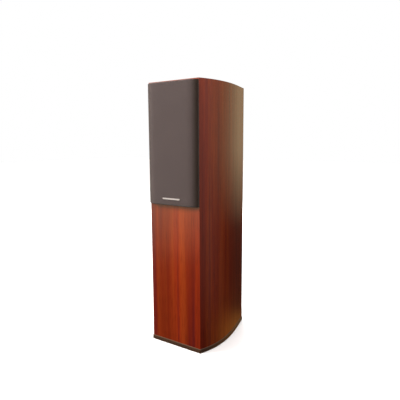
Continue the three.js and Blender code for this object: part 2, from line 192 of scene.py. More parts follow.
print("a grid of 3 by 4 points that wraps round has", len(grid_faces(3, 4)), "cells")

# %% [markdown]
# A slab is an outline lifted from one height to another. Real boards have no razor edges, so the
# outline is drawn in by a hair at both ends: that thin bevel is what catches the light. A Bevel
# modifier would do it too, but it stumbles where a bowed edge has many short faces.


# %% Slabs
def drawn_in(outline, by):
    """A closed outline (n, 2) moved inwards by a distance, along the mean of its edges' normals."""
    outline = np.asarray(outline, float)
    ahead = np.roll(outline, -1, 0) - outline
    behind = outline - np.roll(outline, 1, 0)
    ahead /= np.linalg.norm(ahead, axis=1)[:, None]
    behind /= np.linalg.norm(behind, axis=1)[:, None]
    normals = [np.stack([-e[:, 1], e[:, 0]], 1) for e in (ahead, behind)]
    mean = normals[0] + normals[1]
    mean /= np.maximum((mean * normals[0]).sum(1), 0.3)[:, None]
    x, y = outline.T
    area = (x * np.roll(y, -1) - np.roll(x, -1) * y).sum()
    return outline + mean * by * np.sign(area)


def slab(name, outline, z0, z1, ease=0.5 * MM):
    """An outline (n, 2) lifted from z0 to z1, with its top and bottom edges eased."""
    small = drawn_in(outline, ease)
    levels = [(small, z0), (outline, z0 + ease), (outline, z1 - ease), (small, z1)]
    return stack(name, lifted(levels))


def lifted(levels):
    """Loops from (outline, height) pairs: each outline laid flat at its height."""
    return np.stack([np.column_stack([plan, np.full(len(plan), z)]) for plan, z in levels])


square = np.array([[0, 0], [1, 0], [1, 1], [0, 1]])
print("a unit square drawn in by 0.1 starts at", drawn_in(square, 0.1)[0].round(3))

# %% [markdown]
# Turned parts are made as on a lathe: a profile goes round a line. The Screw modifier could do it,
# but here the points are computed at once, and a profile off the axis closes into a ring.


# %% Turned parts
def eased(profile, by):
    """A profile (n, 2) with every inner corner cut back by a short distance, to catch the light."""
    profile = np.asarray(profile, float)
    before, here, after = profile[:-2], profile[1:-1], profile[2:]
    back, ahead = before - here, after - here
    back_length = np.linalg.norm(back, axis=1)[:, None]
    ahead_length = np.linalg.norm(ahead, axis=1)[:, None]
    first = here + back / back_length * np.minimum(by, back_length / 3)
    second = here + ahead / ahead_length * np.minimum(by, ahead_length / 3)
    inner = np.stack([first, second], 1).reshape(-1, 2)
    return np.vstack([profile[:1], inner, profile[-1:]])


def turned_loops(profile, x, z, around=96):
    """Loops from a profile of (radius, y) turned about the line through (x, z) along Y."""
    profile = np.asarray(profile, float)
    angle = np.arange(around) / around * 2 * np.pi
    radius, y = profile[:, 0, None], profile[:, 1, None]
    return np.stack([
        x + radius * np.sin(angle), y + 0 * angle, z + radius * np.cos(angle),
    ], -1)


def turned_arrays(profile, x, z, around, ring):
    """Points and faces of a turned piece: a ring wraps round, a solid one ends on the axis."""
    loops = turned_loops(profile, x, z, around)
    faces = grid_faces(len(profile), around, wrap_rows=ring)
    return loops.reshape(-1, 3), faces


def turn(name, profile, x, z, around=96, ease=0.3 * MM, sharp=32):
    """A piece of revolution. A profile that starts off the axis closes on itself."""
    profile = np.asarray(profile, float)
    ring = profile[0, 0] > 0
    if ring:
        profile = np.vstack([profile, profile[:2]])
    if ease:
        profile = eased(profile, ease)
    if ring:
        profile = profile[1:-1]
    return put(name, *turned_arrays(profile, x, z, around, ring), sharp=sharp)


print("easing a profile of 4 points gives", len(eased([[0, 0], [1, 0], [1, 1], [0, 1]], 0.1)))

# %% [markdown]
# The last two tools finish a piece: `cut` works like a router, with a closed shape as its bit, and
# `settle` says what the piece is made of, which body carries it and which packed node it stands
# for.


# %% Cuts and settling
def cut(piece, *tools, operation="DIFFERENCE"):
    """Takes closed tools out of a piece (or joins them to it), and throws the tools away."""
    for tool in tools:
        change = piece.modifiers.new("cut", "BOOLEAN")
        change.operation = operation
        change.object = tool
        change.solver = "EXACT"
        bpy.context.view_layer.objects.active = piece
        bpy.ops.object.modifier_apply(modifier=change.name)
        bpy.data.objects.remove(tool)
    mesh = piece.data
    mesh.polygons.foreach_set("use_smooth", np.ones(len(mesh.polygons), bool))
    mesh.set_sharp_from_angle(angle=math.radians(32))
    return piece


def settle(piece, body, slot, finish, *stands_for):
    """Gives a piece its finish, its body and the CAD nodes it stands for; its slot argument is not
    used.
    """
    piece.data.materials.clear()
    piece.data.materials.append(finish)
    if body:
        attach(piece, body)
    if stands_for:
        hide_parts(*stands_for)
    return piece


print("tools ready:", cut.__name__, "and", settle.__name__)

# %% [markdown]
# ## Finishes
#
# Every finish is a small node graph on Object coordinates, so it stays put on its piece at any
# pose. An image could carry the grain, but a formula is sharp at any distance. A constant goes
# straight on the shader, and only what varies over the surface is wired in.


# %% Node graphs
class Nodes:
    """A node graph under construction: `add` makes a node, and wires or sets its inputs."""

    def __init__(self, tree):
        """Starts from the node tree that the nodes go into."""
        self.tree = tree

    def add(self, kind, inputs=(), **settings):
        """A new node of a kind, with its inputs by name or number and its own settings."""
        node = self.tree.nodes.new("ShaderNode" + kind)
        for key, value in settings.items():
            setattr(node, key, value)
        for key, value in dict(inputs).items():
            self.feed(node.inputs[key], value)
        return node

    def feed(self, socket, value):
        """Sets a socket, or wires it if the value is another node's output."""
        if isinstance(value, bpy.types.NodeSocket):
            self.tree.links.new(value, socket)
        else:
            socket.default_value = value

    def place(self, scale=(1, 1, 1)):
        """Object coordinates, stretched by a scale along each axis."""
        where = self.add("TexCoord").outputs["Object"]
        return self.add("Mapping", {"Vector": where, "Scale": scale}).outputs[0]

    def noise(self, where, scale, detail=3, rough=0.5, warp=0.0):
        """Noise from 0 to 1 whose value changes about `scale` times in a metre."""
        node = self.add("TexNoise", {
            "Vector": where, "Scale": scale, "Detail": detail, "Roughness": rough,
            "Distortion": warp,
        })
        return node.outputs[0]

    def ramp(self, value, *stops):
        """Colours read off a scale: stops are (place, (r, g, b))."""
        node = self.add("ValToRGB", {0: value})
        scale = node.color_ramp.elements
        while len(scale) < len(stops):
            scale.new(0.5)
        for element, (place, colour) in zip(scale, stops):
            element.position = place
            element.color = (*colour, 1)
        return node.outputs[0]

    def level(self, value, low_in, high_in, low_out=0.0, high_out=1.0):
        """A number moved from one range to another, and held at its ends."""
        node = self.add("MapRange", {
            0: value, 1: low_in, 2: high_in, 3: low_out, 4: high_out,
        })
        return node.outputs[0]

    def mix(self, share, first, second, blend="MIX"):
        """Two colours mixed, or blended in another way, by a share from 0 to 1."""
        node = self.add("Mix", data_type="RGBA", blend_type=blend)
        self.feed(node.inputs[0], share)
        self.feed(node.inputs[6], first)
        self.feed(node.inputs[7], second)
        return node.outputs[2]

    def math(self, operation, first, second=0.0):
        """One sum, product or function of one or two numbers."""
        return self.add("Math", {0: first, 1: second}, operation=operation).outputs[0]


print("node helpers:", ", ".join(name for name in vars(Nodes) if not name.startswith("_")))

# %% [markdown]
# A material is that same graph with a shader at its end. The bump's depth is in metres, so that a
# pore or a thread is as deep as the real one.


# %% A finish
class Finish(Nodes):
    """A material: constants are set on the shader's own sockets, and `shade` wires the rest."""

    def __init__(self, name, **constants):
        """A new material with one glossy shader, and its constants by name."""
        self.material = bpy.data.materials.new(name)
        self.material.use_nodes = True
        super().__init__(self.material.node_tree)
        self.shader = self.tree.nodes["Principled BSDF"]
        self.shade(**constants)

    def shade(self, **inputs):
        """Sets or wires the shader's sockets, with an underscore for each space in a name."""
        for key, value in inputs.items():
            self.feed(self.shader.inputs[key.replace("_", " ")], value)

    def bump(self, height, depth, strength=1.0):
        """Raises the surface by a height from 0 to 1, times a depth in metres."""
        node = self.add("Bump", {"Height": height, "Distance": depth, "Strength": strength})
        self.shade(Normal=node.outputs[0])


print("finish helper:", Finish.__name__)

# %% [markdown]
# ### Cherry veneer under lacquer
#
# The veneer is sliced from one log, so its stripes run the whole height without a break. Noise
# that is squeezed across the grain and stretched along it gives the same look. One noise makes
# the broad bands from orange to purple brown, a finer one the narrow lines, and the finest the
# pores. A wave texture would do for ring-like figure, but its stripes repeat, and noise doesn't.
# The lacquer is the shader's clear coat, smoother than the wood below it.


# %% Veneer
def veneer(name, grain):
    """Noises stretched along the grain axis ('X', 'Y' or 'Z') and multiplied together.

    From coarse to fine: flame 7, broad 13, bands 34, lines 150 and pores 900 changes in a metre
    across the grain. `squeezed` says what share of that is left along it: 0.02 is fifty times
    slower.
    """
    long_way = "XYZ".index(grain)

    def squeezed(along):
        """One in both directions across the grain, and `along` in the grain's own."""
        scale = [1.0, 1.0, 1.0]
        scale[long_way] = along
        return tuple(scale)

    made = Finish(name, Coat_Weight=0.9, Coat_Roughness=0.12, Coat_IOR=1.5, Specular_IOR_Level=0.15)
    bands = made.noise(made.place(squeezed(0.02)), 34, 2, 0.5, 0.15)
    lines = made.noise(made.place(squeezed(0.015)), 150, 3, 0.6)
    pores = made.noise(made.place(squeezed(0.02)), 900, 2, 0.5)
    flame = made.noise(made.place(squeezed(0.35)), 7, 2, 0.5)
    broad = made.noise(made.place(squeezed(0.05)), 13, 1, 0.4)
    wood = made.ramp(
        bands,
        (0.30, (0.150, 0.015, 0.013)), (0.44, (0.248, 0.024, 0.006)),
        (0.56, (0.302, 0.042, 0.008)), (0.70, (0.194, 0.022, 0.014)),
    )
    line_shade = made.ramp(lines, (0.32, (0.80, 0.72, 0.74)), (0.58, (1.04, 1.04, 1.02)))
    pore_shade = made.ramp(pores, (0.36, (0.66, 0.58, 0.58)), (0.46, (1.0, 1.0, 1.0)))
    flame_shade = made.ramp(flame, (0.3, (0.86, 0.80, 0.78)), (0.7, (1.10, 1.10, 1.0)))
    broad_shade = made.ramp(broad, (0.36, (0.80, 0.76, 0.80)), (0.64, (1.16, 1.20, 1.08)))
    for shade in (line_shade, pore_shade, flame_shade, broad_shade):
        wood = made.mix(1.0, wood, shade, "MULTIPLY")
    made.shade(Base_Color=wood, Roughness=made.level(lines, 0.3, 0.7, 0.42, 0.32))
    made.bump(pores, 0.00006, 0.5)
    return made.material


cherry_upright = veneer("cherry_veneer_upright", "Z")
cherry_level = veneer("cherry_veneer_level", "Y")
print("veneers:", cherry_upright.name, cherry_level.name)

# %% [markdown]
# ### Painted, moulded and metal finishes
#
# Most small parts share one idea: a dark or bright base, a soft cloud of wear in the roughness,
# and a very fine grain in the bump. One function covers them, so they look like one family, and
# the few that are woven, pressed, turned or brushed get a function each.


# %% Plain finishes
def plain(name, colour, roughness, metallic=0.0, grain=900, depth=0.00003, cloud=0.12, **more):
    """A base colour with a faint cloud, a roughness that varies by an eighth, and a fine bump."""
    made = Finish(name, Metallic=metallic, **more)
    cloudy = made.noise(made.place(), 22, 4, 0.6)
    fine = made.noise(made.place(), grain, 2, 0.5)
    dark = tuple(c * (1 - cloud) for c in colour)
    light = tuple(min(1, c * (1 + cloud)) for c in colour)
    made.shade(
        Base_Color=made.ramp(cloudy, (0.3, dark), (0.7, light)),
        Roughness=made.level(cloudy, 0.3, 0.7, roughness * 0.88, roughness * 1.12),
    )
    made.bump(fine, depth, 0.6)
    return made.material


def turned_metal(name, colour, roughness, x, z):
    """Metal faced on a lathe: fine rings about the line through (x, z), from the distance to it."""
    made = Finish(name, Metallic=1.0)
    where = made.add("TexCoord").outputs["Object"]
    moved = made.add("Mapping", {"Vector": where, "Location": (-x, 0, -z), "Scale": (1, 0, 1)})
    radius = made.add("VectorMath", {0: moved.outputs[0]}, operation="LENGTH").outputs["Value"]
    rings = made.math("SINE", made.math("MULTIPLY", radius, 2 * math.pi / (0.25 * MM)))
    cloudy = made.noise(made.place(), 40, 3)
    made.shade(
        Base_Color=made.ramp(cloudy, (0.3, tuple(c * 0.85 for c in colour)), (0.7, colour)),
        Roughness=made.level(rings, -1, 1, roughness * 0.8, roughness * 1.2),
    )
    made.bump(rings, 0.00001, 0.5)
    return made.material


plinth_lacquer = plain("plinth_lacquer", (0.050, 0.026, 0.016), 0.42, grain=300, Coat_Weight=0.3,
                       Coat_Roughness=0.2)
fibreboard = plain("fibreboard", (0.30, 0.19, 0.10), 0.85, grain=1400, depth=0.0001, cloud=0.2)
chassis_paint = plain("chassis_paint", (0.020, 0.020, 0.022), 0.45, 0.2, grain=700, depth=0.00006)
moulding = plain("black_moulding", (0.014, 0.014, 0.015), 0.45, grain=1100, depth=0.00006)
red_moulding = plain("red_moulding", (0.36, 0.020, 0.015), 0.4, grain=1100, depth=0.00004)
frame_moulding = plain("grille_frame_moulding", (0.016, 0.015, 0.015), 0.6, grain=800, depth=0.0001)
rubber = plain("rubber", (0.012, 0.012, 0.012), 0.62, grain=1600, depth=0.00004, cloud=0.2)
silk = plain("doped_silk", (0.020, 0.018, 0.016), 0.5, grain=3000, depth=0.00004,
             Sheen_Weight=0.4, Sheen_Roughness=0.4)
ferrite = plain("ferrite", (0.035, 0.036, 0.040), 0.7, 0.1, grain=500, depth=0.0001)
brass = plain("polished_brass", (0.80, 0.56, 0.22), 0.22, 1.0, grain=900, depth=0.00001)
screw_steel = plain("blackened_screw", (0.025, 0.025, 0.027), 0.35, 0.8, grain=700)
coil_wire = plain("enamelled_copper", (0.62, 0.24, 0.08), 0.28, 0.9, grain=2000)
circuit_board = plain("circuit_board", (0.030, 0.110, 0.035), 0.4, grain=600, cloud=0.3)
film_wrap = plain("film_capacitor_wrap", (0.42, 0.26, 0.03), 0.35, grain=900)
ceramic = plain("resistor_ceramic", (0.72, 0.70, 0.64), 0.75, grain=900, depth=0.0001)
fibre = plain("wadding_fibre", (0.62, 0.60, 0.56), 1.0, grain=500, depth=0.002, cloud=0.15,
              Sheen_Weight=0.5)
cable_jacket = plain("cable_jacket", (0.02, 0.02, 0.02), 0.5, grain=1500)
print("plain finishes made, the last of them", cable_jacket.name)

# %% [markdown]
# ### Woven and pressed finishes
#
# The grille cloth and the spider are woven, so their pattern follows the cloth: it reads a UV map
# in metres that the cloth piece carries, as a print on cloth would. The grille cloth also carries
# painted shade: its colour turns dark towards its rounded upright edges, standing in for the shade
# that falls where they turn away from the lamps. The cone is pressed paper pulp, cloudy with short
# fibres, and the badge is aluminium brushed along its length.


# %% Cloth, paper and brushed metal
def weave(name, colour, lift, pitch, depth, roughness=0.9, painted_shade_edge=None):
    """Two crossing sine waves, one thread pitch apart, read from the UV map in metres.

    The last argument gives the distances from the middle plane between which the cloth turns dark:
    painted shade, standing in for the shade on the rounded upright edges.
    """
    made = Finish(name, Roughness=roughness, Sheen_Weight=0.25, Sheen_Roughness=0.5)
    where = made.add("UVMap").outputs[0]
    apart = made.add("SeparateXYZ", {0: where})
    wave = [
        made.math("SINE", made.math("MULTIPLY", apart.outputs[i], 2 * math.pi / pitch))
        for i in (0, 1)
    ]
    over = made.math("MULTIPLY", *wave)
    slubs = made.noise(made.place((1, 1, 0.3)), 400, 3, 0.6)
    patch = made.noise(made.place(), 14, 3, 0.5)
    thread = made.level(over, -1, 1, 0.62, 1.12)
    tone = made.math("MULTIPLY", thread, made.level(slubs, 0.3, 0.7, 0.93, 1.07))
    tone = made.math("MULTIPLY", tone, made.level(patch, 0.3, 0.7, 0.95, 1.05))
    shade = made.ramp(made.math("MULTIPLY", tone, 0.7), (0.35, colour), (0.9, lift))
    # Painted shade: the cloth's colour turns dark towards its rounded upright edges, in place of
    # the shade that falls there.
    if painted_shade_edge:
        sideways = made.add("SeparateXYZ", {0: made.place()}).outputs[0]
        dark = made.level(made.math("ABSOLUTE", sideways), *painted_shade_edge)
        shade = made.mix(dark, shade, (0.030, 0.021, 0.016, 1))
    made.shade(Base_Color=shade)
    made.bump(over, depth, 0.7)
    return made.material


def paper_pulp(name, colour):
    """Pressed pulp: broad clouds and short pale fibres, from two noises."""
    made = Finish(name, Roughness=0.78)
    cloudy = made.noise(made.place(), 60, 5, 0.65, 0.6)
    fibres = made.noise(made.place((1, 1, 0.3)), 900, 3, 0.7, 1.5)
    base = made.ramp(cloudy, (0.3, tuple(c * 0.75 for c in colour)), (0.7, colour))
    flecks = made.ramp(fibres, (0.45, (0.85, 0.85, 0.85)), (0.7, (1.25, 1.22, 1.15)))
    made.shade(Base_Color=made.mix(1.0, base, flecks, "MULTIPLY"))
    made.bump(fibres, 0.0001, 0.5)
    return made.material


def brushed(name, colour, roughness):
    """Aluminium brushed along X: noise stretched that way drives roughness and bump."""
    made = Finish(name, Metallic=0.3)
    hairs = made.noise(made.place((0.02, 1, 1)), 9000, 1, 0.5)
    made.shade(
        Base_Color=made.ramp(hairs, (0.3, tuple(c * 0.96 for c in colour)), (0.7, colour)),
        Roughness=made.level(hairs, 0.3, 0.7, roughness * 0.9, roughness * 1.15),
    )
    made.bump(hairs, 0.00001, 0.4)
    return made.material


# The grille cloth gets painted shade between 76 and 92 mm from its middle, on its rounded upright
# edges.
grille_weave = weave("grille_weave", (0.046, 0.035, 0.034), (0.124, 0.095, 0.093), 1.0 * MM,
                     0.0003, painted_shade_edge=(0.076, 0.092))
spider_weave = weave("spider_weave", (0.32, 0.18, 0.05), (0.56, 0.34, 0.11), 0.8 * MM, 0.0002, 0.8)
cone_pulp = paper_pulp("cone_pulp", (0.17, 0.165, 0.155))
badge_metal = brushed("brushed_badge", (0.52, 0.53, 0.55), 0.35)
print("finishes made:", len(bpy.data.materials))

# %% [markdown]
# ## The cabinet
#
# The cabinet is a barrel of fibreboard under veneer. Its sides follow one cubic curve, widest a
# little over a third of the way back. Blender has curve objects, but boards of several depths
# must share this one, so it is worked out at many steps and read off by depth: any board can ask
# for the half width at any distance behind the front.


# %% The bowed side
def half_width(depth):
    """The side's cubic curve, from its four control points, read off by its depth."""
    t = np.linspace(0, 1, 2001)[:, None]
    a, b, c, d = SIDE_CURVE
    curve = (1 - t) ** 3 * a + 3 * t * (1 - t) ** 2 * b + 3 * t**2 * (1 - t) * c + t**3 * d
    return np.interp(depth, curve[:, 1], curve[:, 0])


def inset_half(depth, by):
    """The half width measured to a face that lies `by` inside the side's surface."""
    depth = np.asarray(depth, float)
    step = MM
    slope = (half_width(depth + step) - half_width(depth - step)) / (2 * step)
    return half_width(depth) - by * np.hypot(1, slope)


def side_line(start, end, by=0.0, steps=60):
    """Points (x, y) along the right side, front to back, drawn in by a distance."""
    depth = np.linspace(start, end, steps)
    half = half_width(depth) if by == 0 else inset_half(depth, by)
    return np.column_stack([half, FRONT + depth])


def mirrored(points):
    """The same line on the left side, running the other way."""
    return (points * [-1, 1])[::-1]


def across(start, end, by=0.0, steps=60):
    """A closed outline between two depths, right side then left side."""
    right = side_line(start, end, by, steps)
    return np.vstack([right, mirrored(right)])


widest = float(half_width(np.linspace(0, DEPTH, 400)).max())
print(f"half width: {half_width(0):.4f} m in front, {widest:.4f} at its widest")

# %% [markdown]
# Each side is one bent panel, built up from thin sheets in a press. Its veneer runs on, paper
# thin, over the edges of the baffle and the rear panel, which is why no joint shows at the corners
# of the real cabinet. So the outline here is the panel and that leaf in one closed line.

# %% Side panels
skin = side_line(0, DEPTH, steps=110)
back_of_leaf = side_line(DEPTH - WALL, DEPTH, LEAF, 8)[::-1]
inside = side_line(BAFFLE, DEPTH - WALL, WALL, 60)[::-1]
front_of_leaf = side_line(0, BAFFLE, LEAF, 8)[::-1]
panel = np.vstack([skin, back_of_leaf, inside, front_of_leaf])
for name, outline in (("side_panel_right", panel), ("side_panel_left", mirrored(panel))):
    piece = slab(f"{name}_veneered", outline, FOOT + 0.1 * MM, TOP - LEAF, 0.15 * MM)
    settle(piece, "cabinet", "cherry_veneer", cherry_upright, name)
print("side panels:", len(skin), "points along each bow")

# %% [markdown]
# The top is a board between the sides with its leaf of veneer laid over everything. It could be
# two pieces, but one pile of loops makes both: leaf top, leaf edge, leaf underside, then in to the
# board and down. The plinth is a plain lacquered board that stands a little proud all round.

# %% Top and plinth
GLUE = 0.4 * MM        # the gap for glue between the top board and the sides
leaf_outline = across(0, DEPTH, 0.0, 90)
board_outline = across(BAFFLE, DEPTH - WALL, WALL + GLUE, 90)
half_leaf = LEAF / 2
top = stack("top_panel_veneered", lifted([
    (drawn_in(leaf_outline, half_leaf), TOP), (leaf_outline, TOP - half_leaf),
    (leaf_outline, TOP - LEAF), (board_outline, TOP - LEAF), (board_outline, TOP - WALL),
]))
settle(top, "cabinet", "cherry_veneer", cherry_level, "top_panel")

plinth_low, plinth_high = low("plinth"), high("plinth")
overhang = FRONT - plinth_low[1]
foot_side = side_line(0, DEPTH, -overhang, 90)
foot_side[0, 1] -= overhang
PLINTH_EDGE = 1.2 * MM
foot = slab("plinth_board", np.vstack([foot_side, mirrored(foot_side)]),
            plinth_low[2], plinth_high[2], PLINTH_EDGE)
settle(foot, "cabinet", "plinth_black", plinth_lacquer, "plinth")
print(f"the plinth stands {overhang / MM:.1f} mm proud")

# %% [markdown]
# ## Baffle and rear panel
#
# Boards with round holes are easiest to make as the joiner makes them: a whole board first, then
# cutters let into it. A driver's cutter is a stepped drum, because its flange sits in a rebate.


# %% Cutters
OUTSIDE = 2 * MM       # how far a cutter starts outside the face that it cuts
THROUGH = 30 * MM      # deeper than any board


def drum(*steps, x=0.0, z=0.0, front=FRONT, sign=1, around=96):
    """A stepped cylinder from (radius, depth) pairs, starting just outside the board's face."""
    profile = [[0, -OUTSIDE]]
    start = -OUTSIDE
    for radius, depth in steps:
        profile += [[radius, start], [radius, depth]]
        start = depth
    profile.append([0, start])
    profile = np.array(profile)
    profile[:, 1] = front + sign * profile[:, 1]
    return put("cutter", *turned_arrays(profile, x, z, around, False))


def rounded_loop(half_x, half_z, corner, x, y, z, steps=10):
    """A rounded rectangle facing front: four quarter circles, one after another."""
    angle = np.linspace(0, np.pi / 2, steps)
    quarters = []
    for turn_by, (sx, sz) in enumerate(((1, 1), (-1, 1), (-1, -1), (1, -1))):
        a = angle + turn_by * np.pi / 2
        quarters.append(np.column_stack([
            sx * (half_x - corner) + corner * np.cos(a), np.zeros(steps),
            sz * (half_z - corner) + corner * np.sin(a),
        ]))
    return np.vstack(quarters) + [x, y, z]


WOOFERS = {"upper": middle("woofer_upper_chassis")[2], "lower": middle("woofer_lower_chassis")[2]}
TWEETER = middle("tweeter_faceplate")[2]
PORT = middle("port_tube")[2]
CUP = middle("terminal_cup")
SOCKETS = [middle(f"grille_socket_{i}") for i in (1, 2, 3, 4)]
print("heights:", {name: round(float(z), 3) for name, z in WOOFERS.items()}, round(TWEETER, 3))

# %% [markdown]
# A part that is let into a board needs a little room all round, or it would have to be driven in.
# The front baffle has two stepped holes for the cone drivers, one for the tweeter, and four blind
# holes for the rubber sockets that hold the grille.

# %% The front baffle
ROOM = 0.3 * MM
REBATE = 4 * MM
WOOFER_FLANGE, WOOFER_HOLE = 66 * MM, 57 * MM
PLATE, PLATE_HOLE = 45 * MM, 36 * MM
SOCKET_RADIUS, SOCKET_DEPTH = 6.8 * MM, 12.3 * MM
face = slab("front_baffle_board", across(0, BAFFLE, LEAF, 6), FOOT, TOP - LEAF, 0.1 * MM)
holes = [
    drum((WOOFER_FLANGE + ROOM, REBATE), (WOOFER_HOLE, THROUGH), z=z) for z in WOOFERS.values()
]
holes.append(drum((PLATE + ROOM, REBATE), (PLATE_HOLE, THROUGH), z=TWEETER))
holes += [drum((SOCKET_RADIUS, SOCKET_DEPTH), x=x, z=z, around=32) for x, _, z in SOCKETS]
cut(face, *holes)
settle(face, "cabinet", "cherry_veneer", cherry_upright, "front_baffle")
print("baffle:", len(face.data.polygons), "faces")

# %% [markdown]
# The rear panel is cut the same way: a round seat and hole for the port, and a rectangular pair
# with rounded corners for the terminal cup. Both flanges end up just behind the panel's face.

# %% The rear panel
SEAT = 3 * MM          # how deep the port's and the cup's flanges are let in
SHY = 0.4 * MM         # how far their faces stay behind the panel's face
PORT_FLANGE, PORT_HOLE = 42 * MM, 35 * MM
rear = slab("rear_panel_board", across(DEPTH - WALL, DEPTH, LEAF, 6), FOOT, TOP - LEAF, 0.1 * MM)
tools = [drum((PORT_FLANGE + ROOM, SEAT), (PORT_HOLE, THROUGH), z=PORT, front=BACK, sign=-1)]
for half_x, half_z, corner, deep in ((48, 38, 6, SEAT), (38, 28, 5, THROUGH)):
    tools.append(stack("cutter", [
        rounded_loop(half_x * MM + ROOM, half_z * MM + ROOM, corner * MM, CUP[0], y, CUP[2])
        for y in (BACK - deep, BACK + MM)
    ]))
cut(rear, *tools)
settle(rear, "cabinet", "cherry_veneer", cherry_upright, "rear_panel")
print("rear panel:", len(rear.data.polygons), "faces")

# %% [markdown]
# ## The grille
#
# The grille is a moulded frame with cloth pulled over it. Seen from above its front is flat, and
# each upright edge falls away in a quarter of an ellipse. Frame and cloth both take their shape
# from that one section, a hair apart, so that the cloth can't sink into the frame.

# %% The grille's section
PROUD = FRONT - GRILLE_LOW[1]   # how far the cloth stands in front of the baffle
HALF = GRILLE_HIGH[0]  # half the grille's width
ROUND = 35 * MM        # how wide the rounded edge is
LAND = 1.5 * MM        # the square part at the very edge
ROLL = 2.5 * MM        # how far the cloth rolls over the top and bottom rails
LIFT = 0.2 * MM        # the gap left between the grille's edge and the baffle


def grille_section(margin, steps=28):
    """Half the section: (x, how far in front of the baffle), centre to edge.

    Flat, then a quarter ellipse ROUND wide, then a short square land. The margin draws it in.
    """
    angle = np.linspace(np.pi / 2, 0, steps)
    x = HALF - ROUND + (ROUND - margin) * np.cos(angle)
    out = LAND + (PROUD - LAND - margin) * np.sin(angle)
    flat = np.linspace(0, HALF - ROUND, 24)[:-1]
    x = np.concatenate([flat, x, [HALF - margin]])
    out = np.concatenate([np.full(len(flat), PROUD - margin), out, [LIFT]])
    return x, out


print(f"the grille stands {PROUD / MM:.1f} mm in front of the baffle")

# %% [markdown]
# Stretched cloth has no folds, so it needs no simulation: it is one grid that runs round the
# section and rolls over the top and bottom rails. It is given a flat size, and a UV map that
# counts metres along the surface, so that the weave keeps its true size as it turns the edges.

# %% Grille cloth
section_x, section_out = grille_section(0.05 * MM)
x = np.concatenate([-section_x[:0:-1], section_x])
out = np.concatenate([section_out[:0:-1], section_out])
bend = np.linspace(0, np.pi / 2, 8)
gained, sunk = ROLL * (1 - np.cos(bend)), ROLL * (1 - np.sin(bend))
flat_rows = np.linspace(GRILLE_LOW[2] + ROLL, GRILLE_HIGH[2] - ROLL, 90)[1:-1]
z = np.concatenate([
    [GRILLE_LOW[2]], GRILLE_LOW[2] + gained, flat_rows, GRILLE_HIGH[2] - gained[::-1],
    [GRILLE_HIGH[2]],
])
sink = np.concatenate([[PROUD], sunk, 0 * flat_rows, sunk[::-1], [PROUD]])
depth = np.maximum(out[None, :] - sink[:, None], LIFT)
u = np.concatenate([[0], np.cumsum(np.hypot(np.diff(x), np.diff(out)))])
v = np.concatenate([[0], np.cumsum(np.hypot(np.diff(z), np.diff(sink)))])
points = np.stack([
    np.broadcast_to(x, depth.shape), FRONT - depth, np.broadcast_to(z[:, None], depth.shape),
], -1)
uv = np.stack([np.broadcast_to(u, depth.shape), np.broadcast_to(v[:, None], depth.shape)], -1)
cloth = put("grille_cloth_stretched", points, grid_faces(*depth.shape, wrap_columns=False),
            sharp=70, uv=uv)
thickness = cloth.modifiers.new("thickness", "SOLIDIFY")
thickness.thickness = 0.7 * MM
thickness.offset = -1
settle(cloth, "grille", "grille_cloth", grille_weave, "grille_cloth")
print(f"cloth, flat: {u[-1]:.3f} by {v[-1]:.3f} m")

# %% [markdown]
# The frame is the same section drawn in under the cloth, with one long window so that nothing
# stands before the drivers, and four pegs that push into rubber sockets in the baffle. It is
# moulded in one piece, so the pegs are joined on with a boolean and not just placed there.

# %% Grille frame and pegs
UNDER_CLOTH = 1.3 * MM
FRAME_INSET = 1.5 * MM
RAIL = 10 * MM
WINDOW_HALF, WINDOW_CORNER = 61 * MM, 8 * MM
PEG = np.array([[0, -2], [4, -2], [4, 7.5], [3.4, 9.4], [2.4, 10], [0, 10]]) * MM
half_x, half_out = grille_section(UNDER_CLOTH)
right = np.column_stack([half_x, FRONT - half_out])
bar = slab("grille_frame_moulded", np.vstack([right, mirrored(right)]),
           GRILLE_LOW[2] + FRAME_INSET, GRILLE_HIGH[2] - FRAME_INSET, 0.6 * MM)
centre_z = (GRILLE_LOW[2] + GRILLE_HIGH[2]) / 2
window_height = (GRILLE_HIGH[2] - GRILLE_LOW[2]) / 2 - FRAME_INSET - RAIL
window = stack("cutter", [
    rounded_loop(WINDOW_HALF, window_height, WINDOW_CORNER, 0, y, centre_z)
    for y in (FRONT - 2 * PROUD, FRONT + PROUD)
])
cut(bar, window)
pegs = [turn("peg", PEG + [0, FRONT], x, z, 40) for x, _, z in SOCKETS]
cut(bar, *pegs, operation="UNION")
settle(bar, "grille", "frame_plastic", frame_moulding, "grille_frame")
print("grille frame:", len(bar.data.polygons), "faces")

# %% [markdown]
# The badge is a slim brushed bar, left without any lettering. A pile of rounded loops gives it a
# raised rim and a sunk face: each row says how far in from the edge it lies, and how far back from
# the badge's front.

# %% Badge
badge_low, badge_high = low("grille_badge"), high("grille_badge")
badge_mid = middle("grille_badge")
badge_half = (badge_high - badge_low) / 2
badge_thick = badge_high[1] - badge_low[1]
badge_rows = np.array([[0, badge_thick / MM], [0, 0.35], [0.3, 0], [0.7, 0], [0.95, 0.3]]) * MM
badge = stack("badge_bar", [
    rounded_loop(badge_half[0] - inset, badge_half[2] - inset,
                 badge_half[2] - inset - 0.05 * MM, 0, badge_low[1] + behind, badge_mid[2], 12)
    for inset, behind in badge_rows
])
settle(badge, "grille", "silver_badge", badge_metal, "grille_badge")
print("badge:", (2 * badge_half).round(4))

# %% [markdown]
# The sockets are rubber bushes, pressed into the baffle. Only their thin lips stay in sight.

# %% Peg sockets
SOCKET = np.array([
    [4.3, -0.4], [6.3, -0.4], [7.4, -0.1], [7.4, 0], [6.6, 0], [6.6, 12], [4.3, 12],
]) * MM
for i, (x, _, z) in enumerate(SOCKETS, 1):
    socket = turn(f"peg_socket_{i}", SOCKET + [0, FRONT], x, z, 40, 0.15 * MM)
    settle(socket, "cabinet", "cone_rubber", rubber, f"grille_socket_{i}")
print("sockets:", len(SOCKETS))

